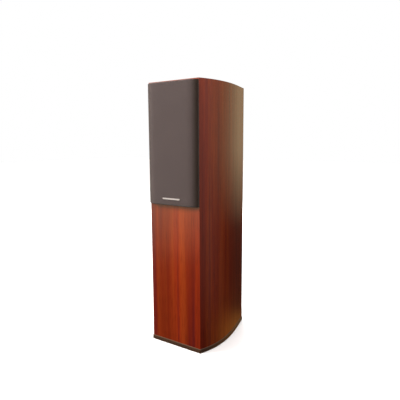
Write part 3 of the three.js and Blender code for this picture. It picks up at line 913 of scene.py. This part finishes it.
# %% [markdown]
# ## The drivers
#
# Every driver part is round, so each is one profile in millimetres: radius, and depth behind the
# baffle's face. `part` turns it and settles it. The real parts are pressed, moulded or turned from
# such a profile too, so a drawing of one could be copied straight into the list.


# %% Turning driver parts
def part(name, profile, z, body, slot, finish, stands_for, ease=0.3):
    """A turned piece from a profile of (radius, depth behind the baffle) in millimetres."""
    profile = np.asarray(profile, float) * MM + [0, FRONT]
    piece = turn(name, profile, 0, z, ease=ease * MM)
    return settle(piece, body, slot, finish, stands_for)


def arc(r, depth, radius, start, end, steps):
    """A round stretch of a profile: centre (r, depth), angles in degrees, 90 points forward."""
    angle = np.radians(np.linspace(start, end, steps))
    return np.column_stack([r + radius * np.cos(angle), depth - radius * np.sin(angle)])


print("a quarter circle's ends:", arc(0, 0, 1, 0, 90, 2).round(3).tolist())

# %% [markdown] Rubber rolls and cloth spiders join a moving cone to a still frame.


# %% Rings that flex
def flex(piece):
    """Bakes a ring's placement into its points, and reads the points into an array.
    """
    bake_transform(piece)
    points = np.zeros(len(piece.data.vertices) * 3)
    piece.data.vertices.foreach_get("co", points)
    points = points.reshape(-1, 3)


# %% [markdown]
# Screws are small but they are what makes a driver look fitted. Each is a pile of round loops, and
# the loops of its socket are six-sided, for the key. One set of screws is one piece.


# %% Screws
def hex_screws(name, places, radius, face, sign, finish):
    """Round-headed screws in one piece: loops whose inner ones are six-sided, for the key.

    `face` is the surface they stand on, and sign is 1 where they face the front, -1 the back. A
    hexagon is a circle whose radius is divided by the cosine of the angle from the nearest flat.
    """
    sides = 24
    angle = np.arange(sides) / sides * 2 * np.pi
    six = 1 / np.cos(angle % (np.pi / 3) - np.pi / 6)
    circle = np.ones(sides)
    rows = [
        (0, circle, 0.30), (0.42, six, 0.30), (0.42, six, 0.85), (0.62, circle, 0.85),
        (0.88, circle, 0.68), (1.0, circle, 0.35), (1.0, circle, -0.3), (0, circle, -0.3),
    ]
    points, faces = [], []
    for x, z in places:
        loops = np.stack([
            np.column_stack([
                x + radius * share * shape * np.sin(angle),
                np.full(sides, face - sign * radius * lift * 0.5),
                z + radius * share * shape * np.cos(angle),
            ]) for share, shape, lift in rows
        ])
        start = sides * len(rows) * len(points)
        points.append(loops.reshape(-1, 3))
        faces += (np.array(grid_faces(len(rows), sides)) + start).tolist()
    piece = put(name, np.vstack(points), faces)
    return settle(piece, "cabinet", "chassis_metal", finish)


def round_places(radius, z, count, start=45.0):
    """Centres spaced evenly round a circle."""
    angle = np.radians(start + np.arange(count) * 360 / count)
    return np.column_stack([radius * np.sin(angle), z + radius * np.cos(angle)])


print("four places on a circle of 1:", round_places(1, 0, 4).round(2).tolist())

# %% [markdown]
# ### Woofers
#
# A woofer in order, front to back: the flange of the chassis, the half-roll surround, the cone
# with its dust cap, the corrugated spider, the voice coil, and the motor of plates and magnet.
# The chassis is pressed with open arms. Here it is turned whole, and six rounded windows are then
# cut through its waist, which leaves the same arms without bending each of them.


# %% Chassis
def woofer_part(where, z, label, profile, body, slot, finish, **more):
    """A turned part of one woofer, named after the packed node that it stands for."""
    node = f"woofer_{where}_{label}"
    return part(f"{node}_turned", profile, z, body, slot, finish, node, **more)


def chassis(where, z):
    """The basket, with a window every sixth of a turn."""
    basket = woofer_part(where, z, "chassis", [
        [60.2, 0.5], [61, 0], [66, 0], [66, 4], [56.5, 4], [56.5, 14], [42.5, 33.5], [42.5, 50],
        [16, 50], [16, 46.5], [36, 46.5], [36, 36], [40.3, 36], [40.3, 33.5], [54.3, 14],
        [54.3, 2], [60.2, 2],
    ], "cabinet", "chassis_metal", chassis_paint)
    windows = []
    for angle in np.arange(6) * np.pi / 3:
        centre = np.array([52 * math.sin(angle), 23.5, 52 * math.cos(angle)])
        window = stack("cutter", [
            rounded_loop(15 * MM, 14 * MM, 4 * MM, 0, y * MM, 0) for y in (-7.5, 7.5)
        ])
        window.data.transform(Matrix.Translation((centre * MM + [0, FRONT, z]).tolist())
                              @ Matrix.Rotation(angle, 4, "Y"))
        windows.append(window)
    return cut(basket, *windows)


print("chassis: six windows, 30 by 28 mm")

# %% [markdown]
# The surround is a half roll of rubber, glued to the chassis outside and to the cone inside. The
# cone's depth follows a power of the distance from its rim, so it steepens towards the voice coil
# as a real cone does, and the dust cap is part of a sphere that closes its neck.

# %% Surround, cone and dust cap
RIM, NECK = 46.5, 13.6                            # radii of the cone, in millimetres
CAP_SPHERE, CAP_EDGE, CAP_THICK = 24, 17.5, 0.8   # the cap's sphere, edge and wall


def surround(where, z):
    """A half roll: two half circles, 1 mm apart, between two flat lips."""
    roll = np.vstack([
        [[59.7, 0.9], [59.7, 2]], arc(50.3, 2, 3.9, 0, 180, 17), [[44, 2], [44, 0.9]],
        arc(50.3, 2, 4.9, 167, 13, 17),
    ])
    node = f"woofer_{where}_surround"
    piece = put(f"{node}_roll", *turned_arrays(roll * MM + [0, FRONT], 0, z, 96, True), sharp=50)
    settle(piece, None, "cone_rubber", rubber, node)
    flex(piece)


def cone_line(r):
    """Depth of the cone's face at a radius: 2 mm at the rim, 23 mm at the neck."""
    return 2 + 21 * ((RIM - r) / (RIM - NECK)) ** 1.15


def cone(where, z):
    """The paper cone, and a dust cap whose sphere meets it at CAP_EDGE."""
    r = np.linspace(RIM, NECK, 26)
    face = np.column_stack([r, cone_line(r)])
    woofer_part(where, z, "cone", np.vstack([face, face[::-1] + [0, 1.1]]), f"{where}_cone",
                "cone_paper", cone_pulp, ease=0)
    lean = math.acos(CAP_EDGE / CAP_SPHERE)
    ball = cone_line(CAP_EDGE) - 0.3 + CAP_SPHERE * math.sin(lean)
    inside = CAP_SPHERE - CAP_THICK
    inner_lean = math.asin(CAP_SPHERE * math.sin(lean) / inside)
    woofer_part(where, z, "dust_cap", np.vstack([
        arc(0, ball, CAP_SPHERE, math.degrees(lean), 90, 16),
        arc(0, ball, inside, 90, math.degrees(inner_lean), 16),
    ]), f"{where}_cone", "cone_rubber", rubber, ease=0)


print(f"cone: {cone_line(NECK) - cone_line(RIM):.0f} mm deep")

# %% [markdown]
# The spider is a disc of treated cloth, pressed into waves so that it can stretch, and the voice
# coil is fine wire wound on a thin former. Both are a sine along the profile: a long one for the
# pressed waves, and a short one, made positive, for the turns of wire.


# %% Spider and voice coil
def spider(where, z):
    """A corrugated disc: its depth is a sine of the radius, 6.4 mm from crest to crest."""
    r = np.linspace(15.6, 36.4, 66)
    wave = np.column_stack([r, 35.2 + 1.2 * np.sin(np.pi * (r - 16) / 3.2)])
    sheet = np.vstack([[[13.6, 35.4]], wave, [[40, 35.1]]])
    loop = np.vstack([sheet, sheet[::-1] + [0, 0.7]]) * MM + [0, FRONT]
    loops = turned_loops(loop, 0, z, 96)
    node = f"woofer_{where}_spider"
    piece = put(f"{node}_pressed", loops, grid_faces(*loops.shape[:2], wrap_rows=True), sharp=60,
                uv=loops[..., [0, 2]])
    settle(piece, None, "spider_cloth", spider_weave, node)
    flex(piece)


def voice_coil(where, z):
    """A former with wire from 45 to 58 mm deep, two turns to the millimetre."""
    depth = np.linspace(45, 58, 105)
    wire = 13.25 + 0.12 * np.abs(np.sin(np.pi * (depth - 45) / 0.5))
    coil = np.vstack([[[12.7, 24], [13.2, 24]], np.column_stack([wire, depth]),
                      [[13.2, 59], [12.7, 59]]])
    woofer_part(where, z, "voice_coil", coil, f"{where}_cone", "voice_coil", coil_wire, ease=0)


print("spider and voice coil ready")

# %% [markdown]
# The motor is a ring magnet between two steel parts. Lathe marks show on the steel as fine rings,
# so it has a finish of its own, centred on each driver. Then both woofers are built.


# %% The motor, and both woofers
def motor(where, z):
    """Top plate, magnet and yoke, and the screws that hold the chassis."""
    steel = turned_metal(f"woofer_{where}_turned_steel", (0.55, 0.56, 0.57), 0.3, 0, z)
    woofer_part(where, z, "top_plate", [[13.9, 50], [35, 50], [35, 55], [13.9, 55]], "cabinet",
                "motor_steel", steel, ease=0.6)
    woofer_part(where, z, "magnet", [[20, 55], [40, 55], [40, 70], [20, 70]], "cabinet",
                "ferrite", ferrite, ease=1.2)
    woofer_part(where, z, "yoke", [[0, 48], [12, 48], [12, 70], [35, 70], [35, 76], [0, 76]],
                "cabinet", "motor_steel", steel, ease=0.6)
    hex_screws(f"woofer_{where}_screws", round_places(63.2 * MM, z, 6, 30), 2.5 * MM, FRONT, 1,
               screw_steel)


for where, z in WOOFERS.items():
    for make in (chassis, surround, cone, spider, voice_coil, motor):
        make(where, z)
    print(f"woofer_{where} at height {z:.3f} m")

# %% [markdown]
# ### Tweeter
#
# The tweeter's faceplate is a shallow horn: its mouth falls away as the sine of a quarter turn, to
# the power of one and a half, so it leaves the flat rim without a crease. The silk dome is part of
# a sphere that runs on into the coil former, and a small roll carries it.

# %% Tweeter front
MOUTH, THROAT = 35, 18.5         # radii of the horn, in millimetres
DOME_RADIUS, DOME_RISE = 13, 5   # the dome from the middle to its edge, and from edge to top
DOME_EDGE, SILK = 5.6, 0.4       # the depth of that edge, and the thickness of the silk
r = np.linspace(MOUTH, THROAT, 18)
mouth = np.column_stack([r, 4.5 * np.sin((MOUTH - r) / (MOUTH - THROAT) * np.pi / 2) ** 1.5])
plate = np.vstack([[[45, 0], [45, 4], [33, 4], [33, 7], [THROAT, 7]], mouth[::-1]])
part("tweeter_faceplate_turned", plate, TWEETER, "cabinet", "moulded_plastic", moulding,
     "tweeter_faceplate", ease=0.25)
sphere = (DOME_RADIUS**2 + DOME_RISE**2) / (2 * DOME_RISE)
lean = math.degrees(math.asin((sphere - DOME_RISE) / sphere))
ball = DOME_EDGE + sphere - DOME_RISE
dome = np.vstack([
    arc(0, ball, sphere, 90, lean, 20), [[13, 6.1], [13, 12], [12.6, 12], [12.6, 5.9]],
    arc(0, ball, sphere - SILK, lean + 0.6, 90, 20),
])
part("tweeter_dome_formed", dome, TWEETER, "tweeter_dome", "dome_silk", silk, "tweeter_dome",
     ease=0)
roll = np.vstack([
    [[18.2, 6.2], [18.2, 6.8], [16.9, 6.8]], arc(15.6, 6.4, 0.9, 0, 180, 9),
    [[13.2, 6.8], [13.2, 6.2]], arc(15.6, 6.2, 1.3, 180, 0, 11),
])
roll_arrays = turned_arrays(roll * MM + [0, FRONT], 0, TWEETER, 96, True)
tweeter_roll = put("tweeter_surround_roll", *roll_arrays, sharp=50)
settle(tweeter_roll, None, "dome_silk", silk, "tweeter_surround")
flex(tweeter_roll)
print(f"dome: part of a sphere of {sphere:.1f} mm")

# %% [markdown]
# Behind the plate is a small copy of the woofer's motor, and a sealed chamber that takes up the
# sound from the back of the dome.

# %% Tweeter motor
tweeter_steel = turned_metal("tweeter_turned_steel", (0.55, 0.56, 0.57), 0.3, 0, TWEETER)
for label, profile, slot, finish in (
    ("top_plate", [[13.6, 7], [30, 7], [30, 10], [13.6, 10]], "motor_steel", tweeter_steel),
    ("magnet", [[17, 10], [33, 10], [33, 20], [17, 20]], "ferrite", ferrite),
    ("yoke", [[0, 8], [12, 8], [12, 20], [30, 20], [30, 24], [0, 24]], "motor_steel",
     tweeter_steel),
    ("rear_chamber", [[0, 24], [25, 24], [25, 34], [21, 38], [0, 38]], "moulded_plastic",
     moulding),
):
    part(f"tweeter_{label}_turned", profile, TWEETER, "cabinet", slot, finish, f"tweeter_{label}",
         ease=0.5)
hex_screws("tweeter_screws", round_places(40.2 * MM, TWEETER, 4), 2.1 * MM, FRONT, 1, screw_steel)
print("tweeter at height", round(TWEETER, 3), "m")

# %% [markdown]
# ## The back: port and terminals
#
# The port is a tube of moulded plastic that tunes the cabinet. Its mouth is flared by a quarter
# circle so that the air doesn't puff, and its flange sits in the rear panel, held by four screws.

# %% Port
FLARE = 13 * MM
PORT_WALL = 2.5 * MM
SMALL_SCREW = 1.7 * MM
bore = high("port_tube")[0] - 17 * MM
mouth_y = BACK - SHY
inner_end = low("port_tube")[1]
angle = np.linspace(0, np.pi / 2, 20)
flare = np.column_stack([
    bore + FLARE * (1 - np.cos(angle)), BACK - FLARE + (FLARE - SHY) * np.sin(angle),
])
port = turn("port_tube_flared", np.vstack([
    [[bore, inner_end]],
    flare,
    [[PORT_FLANGE, mouth_y], [PORT_FLANGE, BACK - SEAT], [34 * MM, BACK - SEAT],
     [bore + PORT_WALL, BACK - 15 * MM], [bore + PORT_WALL, inner_end]],
]), 0, PORT, 96, 0.25 * MM)
settle(port, "cabinet", "moulded_plastic", moulding, "port_tube")
hex_screws("port_screws", round_places(39.6 * MM, PORT, 4), SMALL_SCREW, mouth_y, -1, screw_steel)
print("port bore:", round(bore * 2, 4), "m")

# %% [markdown]
# The terminal cup is moulded with a draft, so that it comes out of its mould. It is a pile of
# rounded loops, and each row here says half width, half height and corner in millimetres, and
# where along Y it lies. `well` goes from the flange's rim down to the floor that one sees, and
# `shell` is the outside, from behind that floor back to the flange.

# %% Terminal cup
FLOOR = BACK - 24 * MM
well = [
    (48, 38, 6, BACK - SEAT), (48, 38, 6, BACK - 0.9 * MM), (47.5, 37.5, 5.5, BACK - SHY),
    (37, 27, 5, BACK - SHY), (36, 26, 4, BACK - 1.4 * MM), (34.6, 24.6, 4, FLOOR + 2 * MM),
    (33.4, 23.4, 3.5, FLOOR + 0.4 * MM), (32.5, 22.5, 3, FLOOR),
]
shell = [(37, 27, 4, FLOOR - 2 * MM), (38, 28, 5, FLOOR - MM), (38, 28, 5, BACK - SEAT)]
cup = stack("terminal_cup_moulded", [
    rounded_loop(half_x * MM, half_z * MM, corner * MM, CUP[0], y, CUP[2])
    for half_x, half_z, corner, y in shell + well
])
settle(cup, "cabinet", "moulded_plastic", moulding, "terminal_cup")
corners = [(sx * 43 * MM, CUP[2] + sz * 33 * MM) for sx in (-1, 1) for sz in (-1, 1)]
hex_screws("cup_screws", corners, SMALL_SCREW, BACK - SHY, -1, screw_steel)
print("terminal cup floor at y =", round(FLOOR, 4))

# %% [markdown]
# Each post is a brass stem whose thread shows as a row of ridges: its radius rises and falls once
# a millimetre. The cap's grip is a circle whose radius swings with the cosine of twelve times the
# angle, and a bore lets the stem through, so the pile of loops wraps round into itself.


# %% Binding posts
def binding_post(pole, finish, slot):
    """Stem, clamp washer and knurled cap of one pole, as profiles in millimetres."""
    x, _, z = middle(f"post_stem_{pole}")
    thread = np.linspace(2, 14.4, 100)
    ridge = 2.82 + 0.18 * np.abs(((thread * 2) % 2) - 1)
    stem = np.vstack([
        [[0, -14], [3, -14], [3, 0], [6, 0], [6, 2], [3, 2]],
        np.column_stack([ridge, thread]), [[2.4, 15], [0, 15]],
    ]) * MM + [0, FLOOR]
    piece = turn(f"post_stem_{pole}_threaded", stem, x, z, 40, 0)
    settle(piece, "cabinet", "brass", brass, f"post_stem_{pole}")
    ring = np.array([[3.3, 2.05], [6, 2.05], [6, 3.2], [3.3, 3.2]]) * MM + [0, FLOOR]
    piece = turn(f"post_washer_{pole}_turned", ring, x, z, 48, 0.2 * MM)
    settle(piece, f"washer_{pole}", "brass", brass, f"post_washer_{pole}")

    angle = np.arange(144) / 144 * 2 * np.pi
    grip = 6.7 + 0.28 * np.cos(12 * angle)
    smooth = np.ones(len(angle))
    start, end = low(f"post_cap_{pole}")[1] / MM, high(f"post_cap_{pole}")[1] / MM
    rows = [
        (3.3 * smooth, start), (5.8 * smooth, start), (6.2 * smooth, start + 0.4),
        (6.2 * smooth, start + 2.2), (grip, start + 2.8), (grip, end - 1.2),
        (grip - 0.5, end - 0.3), (5.4 * smooth, end), (4.0 * smooth, end),
        (3.3 * smooth, end - 0.6),
    ]
    loops = np.stack([
        np.column_stack([
            x + radius * MM * np.sin(angle), np.full(len(angle), y * MM),
            z + radius * MM * np.cos(angle),
        ]) for radius, y in rows
    ])
    cap = stack(f"post_cap_{pole}_knurled", loops, wrap=True)
    settle(cap, f"cap_{pole}", slot, finish, f"post_cap_{pole}")


binding_post("positive", red_moulding, "red_plastic")
binding_post("negative", moulding, "moulded_plastic")
print("two binding posts")

# %% [markdown]
# ## Inside the cabinet
#
# These pieces are out of sight, but they are still the object's own. The boards, the resistor and
# the circuit board keep their CAD shape under a finish. Their faces come as loose triangles, so a
# Weld joins them first, and then a Bevel eases the boards and a subdivision rounds the cables.

# %% Boards and cables that keep their CAD shape
for node, finish in (
    ("bottom_panel", fibreboard), ("brace_lower", fibreboard), ("brace_upper", fibreboard),
    ("crossover_board", circuit_board), ("crossover_resistor", ceramic),
    ("tweeter_cable", cable_jacket), ("woofer_cable_upper", cable_jacket),
    ("woofer_cable_lower", cable_jacket),
):
    kept = frame["nodes"][node]
    kept.data.materials.clear()
    kept.data.materials.append(finish)
    weld = kept.modifiers.new("weld", "WELD")
    weld.merge_threshold = 0.01 * MM
    if "cable" in node:
        smooth = kept.modifiers.new("round", "SUBSURF")
        smooth.levels = smooth.render_levels = 1
    else:
        edge = kept.modifiers.new("eased_edges", "BEVEL")
        edge.width = 0.3 * MM
        edge.limit_method = "ANGLE"
print("kept CAD shapes finished")

# %% [markdown]
# The coils of a crossover are air-cored rings of enamelled wire. Winding a helix of some hundred
# turns would be slow to draw and mostly hidden, so the ring's outside ripples instead, once for
# each turn of wire. The capacitors are rolls of film in a yellow wrap, with sunk, crimped ends.


# %% Coils and capacitors
def wound(node, layers):
    """An air-cored coil: a thick ring whose outside ripples once for each wire, 1.1 mm apart."""
    box_low, box_high = low(node), high(node)
    outer = (box_high[0] - box_low[0]) / 2
    inner = outer * 0.48
    y = np.linspace(box_low[1] + 0.5 * MM, box_high[1] - 0.5 * MM, 120)
    ripple = 0.35 * MM * np.abs(np.sin(np.pi * (y - y[0]) / (1.1 * MM)))
    sides = np.linspace(outer - 0.4 * MM, inner, layers * 6)
    bumps = 0.35 * MM * np.abs(np.sin(np.linspace(0, np.pi * layers, layers * 6)))
    profile = np.vstack([
        np.column_stack([outer - 0.35 * MM + ripple, y]),
        np.column_stack([sides, box_high[1] - 0.4 * MM + bumps]),
        np.column_stack([sides[::-1], box_low[1] + 0.4 * MM - bumps]),
    ])
    x, _, z = middle(node)
    coil = turn(f"{node}_wound", profile, x, z, 64, 0, 60)
    settle(coil, "cabinet", "copper_wire", coil_wire, node)


def capacitor(node):
    """A wrapped film capacitor: a drum with sunk, crimped ends."""
    box_low, box_high = low(node), high(node)
    radius = (box_high[2] - box_low[2]) / 2
    y0, y1 = box_low[1], box_high[1]
    profile = [
        [0, y0 + 0.8 * MM], [radius - 1.6 * MM, y0 + 0.8 * MM], [radius - 1.2 * MM, y0],
        [radius, y0 + 0.8 * MM], [radius, y1 - 0.8 * MM], [radius - 1.2 * MM, y1],
        [radius - 1.6 * MM, y1 - 0.8 * MM], [0, y1 - 0.8 * MM],
    ]
    x, _, z = middle(node)
    piece = turn(f"{node}_wrapped", profile, x, z, 64, 0.2 * MM)
    settle(piece, "cabinet", "film_capacitor", film_wrap, node)


wound("crossover_coil_large", 9)
wound("crossover_coil_small", 6)
capacitor("crossover_capacitor_large")
capacitor("crossover_capacitor_small")
print("coils and capacitors made")

# %% [markdown]
# The wadding is a crowned pad of fibre: a superellipse from the front, thickest in the middle and
# pulled in at its rim, with shallow hollows pressed in by two crossing waves. A cloth simulation
# would puff it up more truly, but it lies hidden in the cabinet, so a formula does.

# %% Wadding
pad_low, pad_high = low("damping_wadding"), high("damping_wadding")
pad_mid, pad_half = (pad_low + pad_high) / 2, (pad_high - pad_low) / 2
lean = np.linspace(-np.pi / 2, np.pi / 2, 61)[:, None]
angle = (np.arange(120) / 120 * 2 * np.pi)[None, :]
out = np.abs(np.cos(lean)) ** 0.35
# A superellipse of power 5: |cos|^5 + |sin|^5, to the power of -1/5, is its radius at an angle.
shape = (np.abs(np.cos(angle)) ** 5 + np.abs(np.sin(angle)) ** 5) ** -0.2
px = pad_half[0] * 0.97 * out * shape * np.cos(angle)
pz = pad_half[2] * 0.97 * out * shape * np.sin(angle)
dimple = 1 - 0.12 * np.abs(np.sin(px * 90) * np.sin(pz * 70))
py = pad_half[1] * 0.95 * np.sin(lean) * dimple * (0.75 + 0.25 * np.cos(px / pad_half[0]))
pad_points = np.stack([pad_mid[0] + px, pad_mid[1] + py, pad_mid[2] + pz], -1)
pad = put("damping_wadding_soft", pad_points, grid_faces(*pad_points.shape[:2]), sharp=80)
settle(pad, "cabinet", "wadding", fibre, "damping_wadding")
print("wadding pad:", (pad_half * 2).round(3))

# %% [markdown]
# ## Studio
#
# Lacquer shows its surroundings, so the room matters as much as the lamps. The floor is a plain
# pale sheet. It is left out of reflections, as black screens laid beside the set would do, so that
# the wood keeps its deep colour.

# %% Floor
reach = 12.0
floor_mesh = bpy.data.meshes.new("floor")
floor_mesh.from_pydata([(-reach, -reach, 0), (reach, -reach, 0), (reach, reach, 0),
                        (-reach, reach, 0)], [], [(0, 1, 2, 3)])
floor = bpy.data.objects.new("floor", floor_mesh)
bpy.context.scene.collection.objects.link(floor)
floor.visible_glossy = floor.visible_diffuse = False
floor_paint = Finish("floor_paint", Roughness=0.9)
speckle = floor_paint.noise(floor_paint.place(), 3, 2)
floor_paint.shade(
    Base_Color=floor_paint.ramp(speckle, (0.3, (0.87, 0.87, 0.87)), (0.7, (0.89, 0.89, 0.89))),
)
floor_mesh.materials.append(floor_paint.material)
print("floor:", 2 * reach, "m square")

# %% [markdown]
# The world is a simple room, worked out from direction alone: a bright wall in front on the left,
# dimmer ones on the right and behind, a dark ground, and a warm glow low behind the speaker. Big
# reflector boards would do the same in a studio, but each would need its place and size. Only
# glossy rays see this room. Diffuse rays get a faint sky, so that the lamps alone shape the form,
# and the camera sees plain white. The world isn't sampled as a lamp would be, because then its
# bright walls would shine on the matt surfaces too.

# %% The room, as light from every direction
GROUND = (0.014, 0.013, 0.012, 1)
GLOW = (0.56, 0.22, 0.04, 1)
WHITE = (1, 1, 1, 1)
world = bpy.data.worlds.new("studio")
bpy.context.scene.world = world
world.use_nodes = True
world.cycles.sampling_method = "NONE"
room = Nodes(world.node_tree)
backdrop = room.tree.nodes["Background"]
looking = room.add("TexCoord").outputs["Generated"]
sideways, backward, upward = room.add("SeparateXYZ", {0: looking}).outputs


def wall(colour, dark_below, bright_above):
    """A wall's light: the ground's colour below, the wall's own above, by the height looked at."""
    return room.mix(room.level(upward, dark_below, bright_above), GROUND, (*colour, 1))


front_left = wall((2.10, 1.45, 0.92), -0.29, -0.15)
right_hand = wall((0.95, 0.72, 0.60), -0.45, 0.18)
behind_it = wall((0.66, 0.52, 0.30), -0.20, -0.02)
around = room.mix(room.level(sideways, 0.0, 0.5), front_left, right_hand)
around = room.mix(room.level(backward, 0.45, 0.85), around, behind_it)
low_behind = room.math("MULTIPLY", room.level(upward, -0.38, -0.43),
                       room.level(backward, 0.3, 0.8))
around = room.mix(low_behind, around, GLOW)
faint_sky = room.mix(room.level(upward, -0.2, 0.8), (0.015, 0.015, 0.015, 1),
                     (0.11, 0.105, 0.10, 1))
rays = room.add("LightPath").outputs
seen = room.mix(rays["Is Diffuse Ray"], around, faint_sky)
room.feed(backdrop.inputs[0], room.mix(rays["Is Camera Ray"], seen, WHITE))
backdrop.inputs[1].default_value = 1.0
print("room nodes:", len(room.tree.nodes))

# %% [markdown]
# Four lamps shape the form. The key is a large soft box in front on the left, a small fill lifts
# the front edge of the right side, a lamp behind lights the back, and a wide soft sun overhead
# keeps the floor even out to the horizon. Lamps would show as hard squares in the lacquer, so they
# are left out of reflections: the room above does that work.


# %% Lights
def soft_light(name, place, target, size, power, colour=(1, 1, 1)):
    """A rectangular lamp that faces a target."""
    data = bpy.data.lights.new(name, "AREA")
    data.shape = "RECTANGLE"
    data.size, data.size_y = size
    data.energy = power
    data.color = colour
    lamp = bpy.data.objects.new(name, data)
    bpy.context.scene.collection.objects.link(lamp)
    lamp.location = place
    lamp.rotation_mode = "QUATERNION"
    lamp.rotation_quaternion = (Vector(place) - Vector(target)).to_track_quat("Z", "Y")
    return lamp


soft_light("key", (-2.15, -1.7, 1.7), (0, 0, 0.5), (1.3, 1.3), 144, (1.0, 0.95, 0.92))
soft_light("side_fill", (0.90, -1.05, 1.70), (0, 0, 0.9), (0.7, 0.7), 15.5, (1.0, 0.93, 0.90))
soft_light("back_lamp", (-1.4, 2.4, 1.6), (0, 0, 0.5), (1.4, 1.4), 55)
sun = bpy.data.objects.new("overhead", bpy.data.lights.new("overhead", "SUN"))
bpy.context.scene.collection.objects.link(sun)
sun.data.energy = 3.6
sun.data.angle = math.radians(28)
for lamp in bpy.data.objects:
    if lamp.type == "LIGHT":
        lamp.visible_glossy = lamp.visible_camera = False

# %% [markdown]
# The camera stands in front and to the right, a little below the top of the cabinet, and looks
# slightly down. Its three axes are built from the angles: one that points back from the scene, one
# level to the right, and the last square to both. The tiny roll is that of a hand-held camera.

# %% Camera
AZIMUTH, ELEVATION, ROLL_ANGLE = (math.radians(a) for a in (34.11, 7.96, -0.28))
FOCAL_LENGTH = 37.2
eye = np.array([0.7829, FRONT - 1.0129, 0.6604])
back = np.array([
    math.sin(AZIMUTH) * math.cos(ELEVATION), -math.cos(AZIMUTH) * math.cos(ELEVATION),
    math.sin(ELEVATION),
])
right = np.array([math.cos(AZIMUTH), math.sin(AZIMUTH), 0])
up = np.cross(back, right)
rolled_right = math.cos(ROLL_ANGLE) * right + math.sin(ROLL_ANGLE) * up
rolled_up = np.cross(back, rolled_right)
lens = bpy.data.cameras.new("camera")
lens.lens = FOCAL_LENGTH
camera = bpy.data.objects.new("camera", lens)
bpy.context.scene.collection.objects.link(camera)
pose = np.eye(4)
pose[:3, :] = np.column_stack([rolled_right, rolled_up, back, eye])
camera.matrix_world = Matrix(pose.tolist())
bpy.context.scene.camera = camera
bpy.context.scene.view_settings.view_transform = "Standard"
print("camera", np.hypot(eye[0], eye[1]).round(2), "m away and", eye[2].round(2), "m up")
